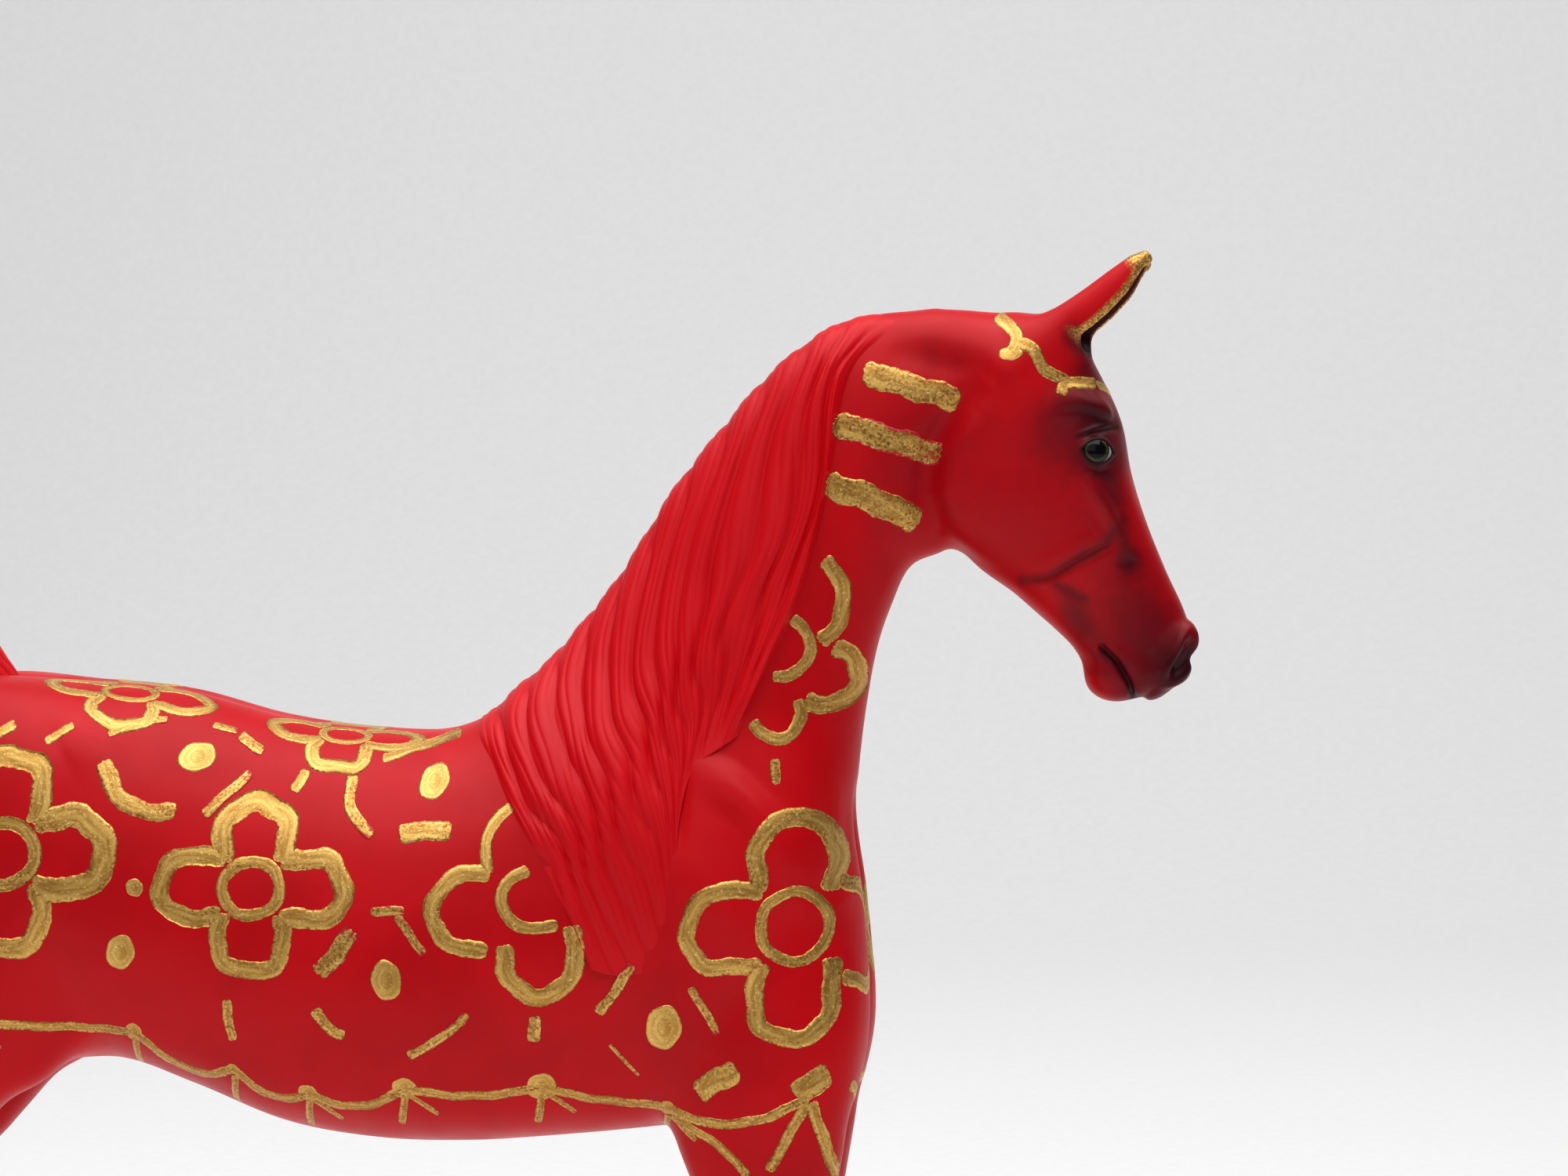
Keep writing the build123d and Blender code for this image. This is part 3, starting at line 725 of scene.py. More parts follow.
def hoof_paint(name):
    """Dark burgundy horn with growth rings."""
    shader = Shader(name)
    rings = shader.noise(1.0, 3, shader.join(0.0, 0.0, shader.math("MULTIPLY", shader.height(), 900)))
    colour = shader.mix(shader.range(rings, 0.35, 0.65), (0.030, 0.004, 0.006, 1), (0.075, 0.008, 0.010, 1))
    roughness = shader.range(shader.noise(700, 3), 0.3, 0.7, 0.26, 0.40)
    return shader.finish(Base_Color=colour, Roughness=roughness, Normal=shader.bump(rings, 0.25, 0.0003))


def steel_wire(name):
    """Drawn steel wire with faint marks."""
    shader = Shader(name)
    marks = shader.noise(1200, 4)
    colour = shader.mix(shader.range(marks, 0.3, 0.7), (0.50, 0.50, 0.51, 1), (0.66, 0.66, 0.67, 1))
    roughness = shader.range(marks, 0.3, 0.7, 0.22, 0.38)
    return shader.finish(Base_Color=colour, Roughness=roughness, Metallic=1.0)


def piece(made, slot, *nodes):
    """The object rides on the body and stands for these CAD nodes; the slot is not used."""
    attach(made, "root")
    if nodes:
        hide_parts(*nodes)
    return made


def give(made, **values):
    """Vertex attributes from arrays."""
    for name, value in values.items():
        layer = made.data.attributes.new(name, "FLOAT", "POINT")
        layer.data.foreach_set("value", np.asarray(value, np.float32))


# ---------------------------------------------------------------- skin: body, legs, hooves and ears

# Darkening of the head from the side, partly airbrushed paint and partly painted shade in hollows, round the
# eyes and under the ears: x, z, half length, half height, tilt, strength
SHADE_AND_AIRBRUSH_CLOUDS = [
    (120.6, 221.4, 6.2, 4, -25, 0.80),
    (121.5, 215, 5, 4.4, 0, 0.68),
    (113.5, 219, 5, 6, 0, 0.30),
    (121, 229.5, 3.6, 5, -60, 0.55),
    (117.4, 234.4, 3, 2.2, -40, 0.60),
    (123.2, 208.6, 2.4, 4.6, 15, 0.40),
    (117.4, 186.4, 2.6, 5, 30, 0.40),
    (126.4, 196.4, 2, 2.4, 0, 0.45),
    (134, 177, 7, 7.5, 0, 0.72),
    (128.6, 185, 8, 9, 20, 0.34),
    (136.4, 179.4, 3, 4.4, -25, 0.60),
    (128, 172.6, 6, 2.6, 0, 0.40),
    (122.4, 178, 3.2, 4.4, 20, 0.28),
    (108, 207, 15, 16, 0, 0.20),
    (126, 196, 9, 16, 25, 0.22),
    (88, 213, 9, 22, -15, 0.22),
    (94, 232, 9, 4, -10, 0.14),
]
# and painted shade along creases of the face: half width, strength, line
SHADE_LINES = [
    (1, 0.34, [(123.7, 202), (122.2, 199.4), (116.6, 196.3), (112.2, 193.8), (108, 193.2)]),
    (1.2, 0.35, [(125, 203.5), (125.4, 199), (126.4, 196)]),
    (0.8, 0.80, [(122, 181), (124.6, 178.6), (126.6, 175), (127.4, 172)]),
    (0.7, 0.45, [(117.6, 218.2), (121, 219.2), (124.2, 219.6)]),
    (0.8, 0.40, [(120.6, 211.8), (122.8, 211)]),
    (1, 0.30, [(114, 192.6), (118.4, 190.2)]),
]


def airbrush_and_painted_shade(points):
    """How dark the head is painted, from 0 to 1: airbrushing and painted shade."""
    x, y, z = points.T
    light = np.ones(len(points))
    for cx, cz, half_length, half_height, tilt, strength in SHADE_AND_AIRBRUSH_CLOUDS:
        c, s = cos(radians(tilt)), sin(radians(tilt))
        u = ((x - cx) * c + (z - cz) * s) / half_length
        v = ((z - cz) * c - (x - cx) * s) / half_height
        light *= 1 - strength * np.exp(-((u * u + v * v) ** 1.2) * 0.9)
    for width, strength, line in SHADE_LINES:
        away, _ = near_line(x, z, line)
        light *= 1 - strength * np.exp(-((away / width) ** 2))
    # darkened ring round the eye opening: airbrushed rim and painted shade of the lids
    rim = np.exp(-(((lens(x, z, EYE, EYE_TILT, EYE_HALF) - 1.1) / 0.45) ** 2)) * (np.abs(y) > 5)
    light *= 1 - 0.85 * rim * (x > 114) * (z > 208)
    return (1 - light) * ramp(z, 163, 170) * ramp(x, 74, 82)


def sculpt():
    """Points and faces of the whole skin, with the head and its features made finer."""
    points, faces = surface(body_sampler.field, body_grid)
    points, faces = refine(points, faces.tolist(), in_head)
    points, faces = refine(points, faces, in_fine_features)
    on_head = np.array([in_head(Vector(p)) for p in points])
    points[on_head] = head_sampler.settle(points[on_head])
    outward = body_sampler.normal(points)
    outward[on_head] = head_sampler.normal(points[on_head])
    raised = relief(points, outward) * ramp(points[:, 2], 0.0, 1.5)
    points = points + outward * raised[:, None]
    points[:, 2] = np.maximum(points[:, 2], 0.02)
    return points, faces


def skin_mesh(points, faces):
    """Working mesh of a skin that carries its shade and its unbroken normals."""
    mesh = bmesh.new()
    shade_layer = mesh.verts.layers.float.new("shade")
    gilt_layer = mesh.verts.layers.float.new("gilt")
    normal_layer = mesh.verts.layers.float_vector.new("toward")
    normals = vertex_normals(points, faces)
    shades = airbrush_and_painted_shade(points)
    verts = []
    for point, shade, normal in zip(points.tolist(), shades.tolist(), normals.tolist()):
        vert = mesh.verts.new(point)
        vert[shade_layer] = shade
        vert[gilt_layer] = 0.0
        vert[normal_layer] = normal
        verts.append(vert)
    for face in faces:
        mesh.faces.new([verts[i] for i in face])
    return mesh


def cut(mesh, place, direction, inside):
    """Edges along a plane, only through faces inside a region."""
    faces = [f for f in mesh.faces if inside(f.calc_center_median())]
    around = faces + list({e for f in faces for e in f.edges}) + list({v for f in faces for v in f.verts})
    bmesh.ops.bisect_plane(mesh, geom=around, plane_co=place, plane_no=direction, dist=1e-5)


MOST_SKIN_CORNERS = 8  # faces with more corners are the filled ends of a cut


def part_of(mesh, wanted, name, material, slot, *nodes):
    """New piece from the faces whose middle is wanted, with its cut ends closed."""
    part = mesh.copy()
    dropped = [f for f in part.faces if not wanted(f.calc_center_median())]
    bmesh.ops.delete(part, geom=dropped, context="FACES")
    ends = {e for e in part.edges if e.is_boundary}
    bmesh.ops.holes_fill(part, edges=list(ends), sides=0)
    normal_layer = part.verts.layers.float_vector["toward"]
    corner_normals = []
    for face in part.faces:
        face.smooth = True
        is_end = len(face.verts) > MOST_SKIN_CORNERS
        for loop in face.loops:
            corner_normals.append(face.normal[:] if is_end else loop.vert[normal_layer][:])
    for vert in part.verts:
        vert.co = vert.co * MM
    data = bpy.data.meshes.new(name)
    part.to_mesh(data)
    part.free()
    data.normals_split_custom_set(corner_normals)
    data.materials.append(material)
    data.attributes.remove(data.attributes["toward"])
    made = bpy.data.objects.new(name, data)
    bpy.context.collection.objects.link(made)
    return piece(made, slot, *nodes)


body_grid = Grid((-122, -36, -3), (142, 36, 253), VOXEL)
body_sampler = Sampler(horse_field(body_grid), body_grid)
head_grid = Grid((86, -16, 164), (142, 16, 253), HEAD_VOXEL)
head_sampler = Sampler(horse_field(head_grid), head_grid)

FORE_CUT, HIND_CUT, HOOF_CUT = 95.5, 100.0, 10.2  # heights where the legs and hooves are parted
FORELEG_BEHIND, HINDLEG_AHEAD = 20, -62  # legs lie ahead of the first and behind the second of these places
CUT_REACH = 4
EAR_FOOT = Vector((115.9, 5.8, 235.4))
ear_way = [Vector((0.75, side * 0.13, 0.65)).normalized() for side in (-1, 1)]
ear_foot = [Vector((EAR_FOOT.x, side * EAR_FOOT.y, EAR_FOOT.z)) for side in (-1, 1)]


def by_the_ears(p):
    return p.x > 106 and p.z > 228


def is_ear(p):
    side = p.y > 0
    return by_the_ears(p) and abs(p.y) > 0.6 and (p - ear_foot[side]).dot(ear_way[side]) > 0


def is_foreleg(p):
    return p.z < FORE_CUT and p.x > FORELEG_BEHIND


def is_hindleg(p):
    return p.z < HIND_CUT and p.x < HINDLEG_AHEAD


skin_points, skin_faces = sculpt()
whole = skin_mesh(skin_points, skin_faces)
for side in (0, 1):
    cut(whole, ear_foot[side], ear_way[side], lambda p: by_the_ears(p) and (p.y > 0) == bool(side))
level_cuts = (
    (FORE_CUT, lambda p: p.x > FORELEG_BEHIND),
    (HIND_CUT, lambda p: p.x < HINDLEG_AHEAD),
    (HOOF_CUT, lambda p: True),
)
for height, inside in level_cuts:
    cut(whole, (0, 0, height), (0, 0, 1), lambda p: inside(p) and abs(p.z - height) < CUT_REACH)

body_red = red_paint("body_red")
leg_red = red_paint("leg_red")
ear_red = red_paint("ear_red")
hoof_dark = hoof_paint("hoof_dark")
eye_gloss = eye_paint("eye_gloss")
hair_red = hair_paint("hair_red")
gold = gold_paint("gold_paint")
steel = steel_wire("steel_wire")

def is_body(p):
    return not (is_ear(p) or is_foreleg(p) or is_hindleg(p))


def of_leg(is_leg, side, sign):
    """Test for the faces of one leg, above the cut of its hoof or below it."""
    return lambda p: is_leg(p) and p.y * side > 0 and (p.z - HOOF_CUT) * sign > 0


part_of(whole, is_body, "body_skin", body_red, "body_red", "right_body_shell", "left_body_shell")
for side, hand in SIDES:
    for kind, is_leg in (("fore", is_foreleg), ("hind", is_hindleg)):
        leg = f"{hand}_{kind}leg"
        part_of(whole, of_leg(is_leg, side, 1), f"{leg}_skin", leg_red, "leg_red", leg)
        part_of(whole, of_leg(is_leg, side, -1), f"{hand}_{kind}_hoof", hoof_dark, "hoof_dark")
whole.free()


EAR_BOX = ((103, 0.3, 226), (134, 16, 253))
SCOOP_STEP = 0.5


def ears():
    """Both ears, cut from a finer skin: painted shade inside the hollow, gilded along the rims and at the tip.
    """
    grid = Grid(*EAR_BOX, EAR_VOXEL)
    field = head_field(grid)
    points, faces = surface(field, grid)
    points = Sampler(field, grid).settle(points)
    mesh = skin_mesh(points, faces.tolist())
    scoop_grid = Grid(*EAR_BOX, SCOOP_STEP)
    depth = Sampler(ear_fields(scoop_grid)[1], scoop_grid).value(points)
    shade_layer, gilt_layer = mesh.verts.layers.float["shade"], mesh.verts.layers.float["gilt"]
    travel = (points - np.array(ear_foot[1])) @ np.array(ear_way[1])
    mesh.verts.ensure_lookup_table()
    for vert, inside, far in zip(mesh.verts, depth, travel):
        hollow = 1 - min(max((inside + 0.05) / 0.5, 0), 1)
        rim = min(max(1.6 - abs(inside - 0.56) / 0.34, 0), 1)
        tip = min(max((far - 15.0) / 1.6, 0), 1)
        wear = 0.5 + 0.5 * sin(2.1 * far + 1.3 * sin(3.7 * far))
        # painted shade: the hollow of the ear is darkened almost fully
        vert[shade_layer] = 0.92 * hollow + vert[shade_layer] * (1 - hollow)
        gilt_rim = rim * (0.82 + 0.18 * wear) * min(max(far / 2.5, 0), 1)
        vert[gilt_layer] = max(gilt_rim, tip * 0.95 * (inside > 0.15))
    cut(mesh, ear_foot[1], ear_way[1], lambda p: True)
    part_of(mesh, is_ear, "left_ear_skin", ear_red, "ear_red", "left_ear")
    for vert in mesh.verts:
        vert.co.y = -vert.co.y
        normal_layer = mesh.verts.layers.float_vector["toward"]
        vert[normal_layer] = Vector(vert[normal_layer]) * Vector((1, -1, 1))
    bmesh.ops.reverse_faces(mesh, faces=mesh.faces)
    part_of(mesh, is_ear, "right_ear_skin", ear_red, "ear_red", "right_ear")
    mesh.free()


ears()


EYE_RADIUS, EYE_DEPTH = 3.3, 2.75  # of the ball, and of its centre below the skin


def eye(side, hand):
    """Glass-like eyeball seated behind the lids, looking out and slightly ahead."""
    start = np.array([[EYE[0], side * 12.0, EYE[1]]])
    place = head_sampler.settle(start, 0.0, 8)[0]
    place[0], place[2] = EYE
    out = Vector(head_sampler.normal(place[None])[0])
    centre = Vector(place) - out * EYE_DEPTH
    radius = EYE_RADIUS
    gaze = (out + Vector((-0.06, 0, 0.10))).normalized()
    rings, turns = 40, 72
    level = gaze.cross(Vector((0, 0, 1))).normalized()
    upright = level.cross(gaze)
    points, ring_values, turn_values = [centre + gaze * radius], [0.0], [0.0]
    for i in range(1, rings):
        angle = pi * (i / rings) ** 1.3
        for j in range(turns):
            turn = 2 * pi * j / turns
            aside = level * cos(turn) + upright * sin(turn)
            points.append(centre + (gaze * cos(angle) + aside * sin(angle)) * radius)
            ring_values.append(angle * radius)
            turn_values.append(turn)
    points.append(centre - gaze * radius)
    ring_values.append(pi * radius)
    turn_values.append(0.0)
    faces = [[0, 1 + (j + 1) % turns, 1 + j] for j in range(turns)]
    for i in range(rings - 2):
        row = 1 + i * turns
        for j in range(turns):
            nxt = (j + 1) % turns
            faces.append([row + j, row + nxt, row + turns + nxt, row + turns + j])
    row = 1 + (rings - 2) * turns
    faces += [[row + j, row + (j + 1) % turns, len(points) - 1] for j in range(turns)]
    made = mesh_object(f"{hand}_eye", [p[:] for p in points], faces, eye_gloss)
    give(made, ring=ring_values, turn=turn_values)
    return piece(made, "eye_gloss")


for side, hand in SIDES:
    eye(side, hand)


# ---------------------------------------------------------------- mane and tail

# Locks of the mane from the crest to their tips, seen from the side, the rearmost first: x, z
MANE = [
    [(12, 169), (16.5, 162), (22.5, 153), (27.5, 145.5), (32, 137.5), (36, 128)],
    [(18.5, 171.5), (19, 166.5), (23.5, 159), (29, 150), (34, 141), (39.5, 127)],
    [(25.5, 177), (24, 169.5), (27.5, 161), (32.5, 151), (37.5, 140), (43, 127)],
    [(32, 184), (29.5, 174), (31.5, 165.5), (36, 154), (41.5, 142), (46, 128)],
    [(38, 191.5), (34.5, 179.5), (35, 168.5), (39.5, 157.5), (44.5, 146), (48.5, 130.5)],
    [(44, 200.5), (39.5, 185), (40, 171.5), (43.5, 162), (47, 151), (49.8, 136.5)],
    [(50, 210), (45, 192.5), (43.5, 178.5), (46, 167), (48.4, 157), (50.2, 144.5)],
    [(56, 218.5), (50, 199.5), (48, 182.5), (48.5, 171.5), (50, 163), (50.6, 153)],
    [(62.5, 225.6), (57, 208), (52.5, 189.5), (51.5, 177.5), (52.5, 168.5), (52, 160)],
    [(69, 231.6), (64, 217), (60, 198.5), (56, 184), (55.5, 172.5), (54.2, 163)],
    [(75.5, 236.4), (71, 222.5), (68, 204), (63, 189.5), (59.5, 176), (56.2, 164.4)],
    [(82, 239.4), (75.5, 226), (73, 209), (68.5, 194), (62.8, 178.5), (58, 165.6)],
    [(90, 240.4), (79, 229.5), (75.5, 212), (71.5, 194), (65.3, 179), (59.8, 166.8)],
]


def wander(values, seed, scale):
    """Smooth random curve or surface in -1..1 over one or two coordinates."""
    randoms = np.random.default_rng(seed)
    total = 0
    for k in range(6):
        turns = randoms.uniform(0.5, 1.6, len(values)) * scale * (1 + 0.35 * k)
        phase = randoms.uniform(0, 2 * pi)
        total = total + np.sin(sum(v * t for v, t in zip(values, turns)) + phase) / 3
    return total


def soften(values, passes):
    """Grid of values with its unevenness smoothed out along both ways."""
    for _ in range(passes):
        values[1:-1] = (values[:-2] + 2 * values[1:-1] + values[2:]) / 4
        values[:, 1:-1] = (values[:, :-2] + 2 * values[:, 1:-1] + values[:, 2:]) / 4
    return values


def locks(across, along, count, seed):
    """Height of combed locks in 0..1: broad soft ridges with narrow grooves that wander and merge."""
    lane = across * count + 0.42 * wander((across * 1.1, along * 2.4), seed, 2.0)
    lane = lane + 0.12 * wander((across * 3, along * 5), seed + 1, 1.5)
    away = np.abs(lane - np.round(lane))
    groove = np.exp(-((away / 0.20) ** 2))
    return 1 - 0.5 * groove - 0.5 * (1 - 2 * away) ** 2


MANE_LOCKS, MANE_STRANDS = 13, 37  # broad locks and fine strands across the mane
MANE_THICKNESS, MANE_RELIEF = 2.5, 0.75


def mane():
    """Mane laid over the right side of the neck, thick at the crest and melting into the shoulder."""
    rows, columns = ((260, 460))
    guides = np.array(MANE)
    v = np.linspace(0, 1, columns)
    u = np.linspace(0, 1, rows) ** 1.15
    x, z = (
        through(np.stack([through(guides[:, k, c], v * (len(MANE) - 1)) for k in range(6)]), u * 5)
        for c in (0, 1)
    )
    u, v = np.broadcast_arrays(u[:, None], v[None, :])
    # the right face of the body at each place, or its crest where the line of sight passes over it
    steps = np.arange(-34, 0.5, 0.5)
    place = np.stack([x.ravel(), np.zeros(x.size), z.ravel()], axis=1)
    y = np.zeros(x.size)
    found = np.zeros(x.size, bool)
    for step in steps:
        place[:, 1] = step
        inside = (body_sampler.value(place) < 0) & ~found
        y[inside] = step
        found |= inside
    place[:, 1] = y
    over = np.clip(1 - u.ravel() / 0.035, 0, 1)
    place[:, 1] = place[:, 1] * (1 - over) + 4.0 * over
    base = body_sampler.settle(place, 0.0, 6)
    outward = body_sampler.normal(base)
    base = soften(base.reshape(rows, columns, 3), 24).reshape(-1, 3)
    outward = soften(outward.reshape(rows, columns, 3), 60).reshape(-1, 3)
    outward /= np.linalg.norm(outward, axis=1, keepdims=True)
    fine = locks(v, u, MANE_STRANDS, 11)
    broad = locks(v, u, MANE_LOCKS, 5)
    relief_depth = MANE_RELIEF * (1 - 0.75 * ramp(u, 0.55, 1.0)) * (0.55 + 0.45 * ramp(u, 0.0, 0.15))
    body = MANE_THICKNESS * (1 - 0.86 * ramp(u, 0.45, 1.0) * (1 - ramp(v, 0.80, 0.97)))
    body = body * (0.25 + 0.75 * ramp(v, 0.0, 0.16))
    height = body + 0.45 * wander((v * 5, u * 2.2), 21, 1.6) * relief_depth
    height = height - relief_depth * (1 - broad) - 0.16 * (1 - fine) * (1 - 0.7 * ramp(u, 0.6, 1.0))
    edge = ramp((1 - v) / (0.045 + 0.17 * (1 - ramp(u, 0.0, 0.25))), -0.1, 1.0)
    tip = ramp(1 - u, -0.01, 0.13)
    root = ramp(u, 0.0, 0.03)
    rear_edge = ramp(v, 0.0, 0.02)
    height = height * edge * tip * (0.15 + 0.85 * root) * rear_edge - 0.12
    top = base + outward * height.ravel()[:, None]
    under = base - outward * 0.8
    faces = closed_sheet(rows, columns, True)
    made = mesh_object("mane_locks", np.concatenate([top, under]), faces, hair_red)
    # how deep each place lies in a groove, for the painted shade of the hair
    groove = ((1 - broad) * 0.8 + (1 - fine) * 0.2).ravel()
    give(
        made,
        groove=np.concatenate([groove, groove]),
        across=np.concatenate([(v * 90).ravel()] * 2),
        along=np.concatenate([(u * 90).ravel()] * 2),
    )
    return piece(made, "hair_red", "mane")


mane()

# Tail: x, z of the middle, half depth, half width
TAIL = [
    (-71.5, 170, 4.4, 4.6),
    (-75.5, 175.5, 4.7, 5),
    (-80, 181.2, 4.9, 5.4),
    (-87, 187, 5.5, 6.2),
    (-97.5, 188.4, 6.5, 7.5),
    (-107.5, 181, 7.5, 8.9),
    (-116, 167, 8.4, 10.2),
    (-122, 147, 8.7, 11.3),
    (-126.2, 122, 8.4, 11.4),
    (-129, 95, 7.3, 9.8),
    (-132.2, 68, 5.2, 6.9),
    (-134.6, 54, 3.6, 4.6),
    (-136, 44.6, 1.2, 1.4),
]


TAIL_LOCKS, TAIL_STRANDS = 17, 52  # round the tail


def tail():
    """Tail carried high and falling behind the hindquarters in twisted locks."""
    rows, columns = ((380, 220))
    at = np.linspace(0, len(TAIL) - 1, rows)
    x, z, depth, width = (through(column, at) for column in zip(*TAIL))
    run = np.stack([np.gradient(x), np.gradient(z)], axis=1)
    run /= np.linalg.norm(run, axis=1, keepdims=True)
    turn = np.linspace(0, 2 * pi, columns, endpoint=False)
    u, phi = np.broadcast_arrays(np.linspace(0, 1, rows)[:, None], turn[None, :])
    twist = phi + 0.315 * np.sin(2.4 * u * pi) + 0.5 * u
    lane = twist / (2 * pi) * TAIL_LOCKS + 0.5 * (
        np.sin(3 * twist + 5 * u) + 0.6 * np.sin(2 * twist - 9 * u + 1.0) + 0.5 * np.sin(5 * twist + 14 * u)
    )
    ridge = 1 - np.abs(2 * (lane - np.floor(lane)) - 1) ** 2.4
    lane_fine = twist / (2 * pi) * TAIL_STRANDS + 1.2 * np.sin(4 * twist + 11 * u)
    fine = 1 - np.abs(2 * (lane_fine - np.floor(lane_fine)) - 1) ** 2.0
    deep = (0.16 * (1 - ridge) + 0.035 * (1 - fine)) * (0.35 + 0.65 * ramp(u, 0.06, 0.3))
    size = 1 - deep + 0.05 * np.sin(2 * twist + 7 * u) * ramp(u, 0.2, 0.5)
    size = np.minimum(size, 1.0)
    side_y = np.cos(phi) * width[:, None] * size
    out = np.sin(phi) * depth[:, None] * size
    points = np.stack([x[:, None] - run[:, 1:2] * out, side_y, z[:, None] + run[:, 0:1] * out], axis=-1)
    points = points.reshape(-1, 3)
    index = np.arange(rows * columns).reshape(rows, columns)
    faces = []
    for j in range(columns):
        k = (j + 1) % columns
        faces += np.stack([index[:-1, j], index[:-1, k], index[1:, k], index[1:, j]], axis=-1).tolist()
    points = np.concatenate([points, [[x[0], 0, z[0]], [x[-1] - 0.1, 0, z[-1] - 0.8]]])
    start, end = rows * columns, rows * columns + 1
    for j in range(columns):
        k = (j + 1) % columns
        faces.append([start, int(index[0, k]), int(index[0, j])])
        faces.append([end, int(index[-1, j]), int(index[-1, k])])
    made = mesh_object("tail_locks", points, faces, hair_red)
    # the groove attribute carries painted shade into the grooves between the locks
    give(
        made,
        groove=np.append((1 - ridge).ravel(), [0, 0]),
        across=np.append((phi * 8).ravel(), [0, 0]),
        along=np.append((u * 190).ravel(), [0, 190]),
    )
    return piece(made, "hair_red", "tail")


tail()

# ---------------------------------------------------------------- gold

# Gold flowers: way of looking, middle, half length, half height, width of the stroke, petals
ALL_PETALS = ("ahead", "top", "behind", "foot")
SIDE_FLOWERS = [
    ("side", -21.5, 141.5, 15.5, 14, 3.4, ALL_PETALS),
    ("side", -64.5, 147, 18, 16.5, 3.9, ALL_PETALS),
    ("side", 70, 135, 17.5, 18.5, 3.2, ("top", "behind", "foot")),
]
FLOWERS = {
    "right": [("top", -47.5, -8.4, 14, 9, 2.5, ALL_PETALS), ("top", -9.5, -8, 12.5, 9, 2.5, ALL_PETALS)],
    "left": [
        ("top", -47, 11, 14, 9.5, 2.6, ALL_PETALS),
        ("top", -9, 11, 13, 9.5, 2.6, ALL_PETALS),
        ("side", 24, 139.5, 14, 15, 3.2, ALL_PETALS),
        ("side", 63, 184, 12, 14, 3, ALL_PETALS),
    ],
}
# Arcs of the two flowers that the mane cuts off on the right:
# middle, half length, half height, first and last angle, width
MANE_SIDE_ARCS = [
    (25, 148, 7, 8, 120, 205, 2),
    (17, 138, 7.5, 6.5, 80, 280, 2.9),
    (27.5, 131, 6, 7.5, 175, 390, 3.2),
    (27, 140, 6, 5, 110, 300, 2.1),
    (69.5, 190, 8, 8.5, 50, -55, 2.8),
    (74.5, 177, 5.5, 5, 70, -120, 3.2),
    (66.5, 170.5, 4, 4, 30, -160, 2.2),
    (67, 182, 5, 5, 65, -100, 2.1),
]
# Dashes: middle, length, tilt, bend, width, dryness
BARS = [
    (89, 226.5, 15.5, -17, 0, 4.4, 0.35),
    (85, 217.5, 17, -17, 0, 4.6, 0.6),
    (82.5, 206.5, 15, -23, 0.5, 4.8, 0.35),
]
DASHES = [
    (-56.5, 167, 4.5, 32, 0, 1.5, 0.3),
    (-66, 167.5, 3.5, 35, 0, 1.8, 0.3),
    (-44, 168, 9, 15, 0.5, 1.3, 0.6),
    (-42, 158, 14.5, -32, -3, 2.9, 0.3),
    (-27, 157, 9, 45, 0, 2, 0.8),
    (-15, 159, 3, 70, 0, 2, 0.3),
    (-4, 155, 10, -63, -1.5, 2.1, 0.6),
    (4.5, 164.5, 12.5, 18, 0, 1.5, 0.3),
    (7.5, 151, 7.5, 3, 0, 3.2, 0.3),
    (-24.5, 165, 4.5, -32, 0, 1.7, 0.8),
    (-29.5, 167.5, 4, -14, 0, 1.1, 0.9),
    (2, 138, 5, 0, 0, 1.7, 0.8),
    (6, 134, 7.5, -53, 0, 1.6, 0.9),
    (-6.5, 131, 8, 53, 0, 3.4, 0.7),
    (-25.5, 119, 6.5, -85, 0, 1.8, 0.5),
    (-8, 119, 6, -42, -0.5, 2, 0.5),
    (10.5, 117, 12, 35, -0.5, 1.6, 0.5),
    (26.5, 118, 3.5, 90, 0, 2.4, 0.7),
    (40, 124.5, 9.5, 55, 0, 2, 0.8),
    (55, 121, 8.5, -60, 0, 1.6, 0.8),
    (66.5, 161, 3.5, -82, 0, 1.7, 0.6),
    (41, 112, 7, -50, 0, 0.7, 0.7),
    (57, 109, 6.5, 33, 0, 4, 0.3),
    (73, 108.5, 5, 30, 0, 4.2, 0.2),
]
# Bridle from the poll to the forehead: width, x and z along the stroke
BRIDLE = [
    (2.3, [(104, 238.5), (107, 235), (106.5, 232.5)]),
    (2.1, [(107, 234), (110, 232.5), (112, 229), (115.5, 227.5)]),
    (2.1, [(115, 227), (120, 227)]),
    (2.2, [(115.5, 227.5), (114.5, 225.5)]),
]
# Garland along the belly: x and z of its knots, their width, and how far the swag after each one hangs down.
# The last place is the end of the last swag and has no knot.
KNOTS = [
    (-71, 118.5, 1.5, 0.5),
    (-43.5, 116, 3.2, 4),
    (-26, 110, 2, 3),
    (-13, 106, 3.4, 3),
    (4, 107.5, 4, 1.5),
    (27, 107.5, 5, 1),
    (48, 103.5, 2.6, 3),
    (72, 106, 2, 0),
]
# Tassels on the elbow and the forearm: width, x and z along the stroke
TASSELS = [(1.5, [(49, 102), (57, 98), (62, 93)]), (1.8, [(72, 105), (66, 94)]), (2, [(73, 105), (77, 92)])]
# Dots: x, z, half length, half height
DOTS = [
    (-33, 163, 3, 2.5),
    (8, 159, 2.5, 3),
    (-44, 130.5, 2.5, 3),
    (-41.5, 141.5, 1.5, 1.5),
    (2, 126.5, 2.5, 3.5),
    (48, 118, 3, 4),
    (106, 232, 2, 1.2),
    (-86, 131, 2.4, 2.6),
    (-79, 126.5, 1.6, 1.8),
]
# Strokes seen from the front: width, dryness, y and z of the right side
FRONT_STROKES = [
    (3, 0.2, [(-16, 126), (-10.5, 124), (-5, 126.5), (-2.6, 133), (-5.5, 139.5), (-12, 142)]),
    (1.8, 0.2, [(-6.4, 226.6), (-3, 226), (0.6, 225.8)]),
    (2, 0.3, [(-16, 107.5), (-10, 104.5), (-4.5, 107), (0, 110.5)]),
]


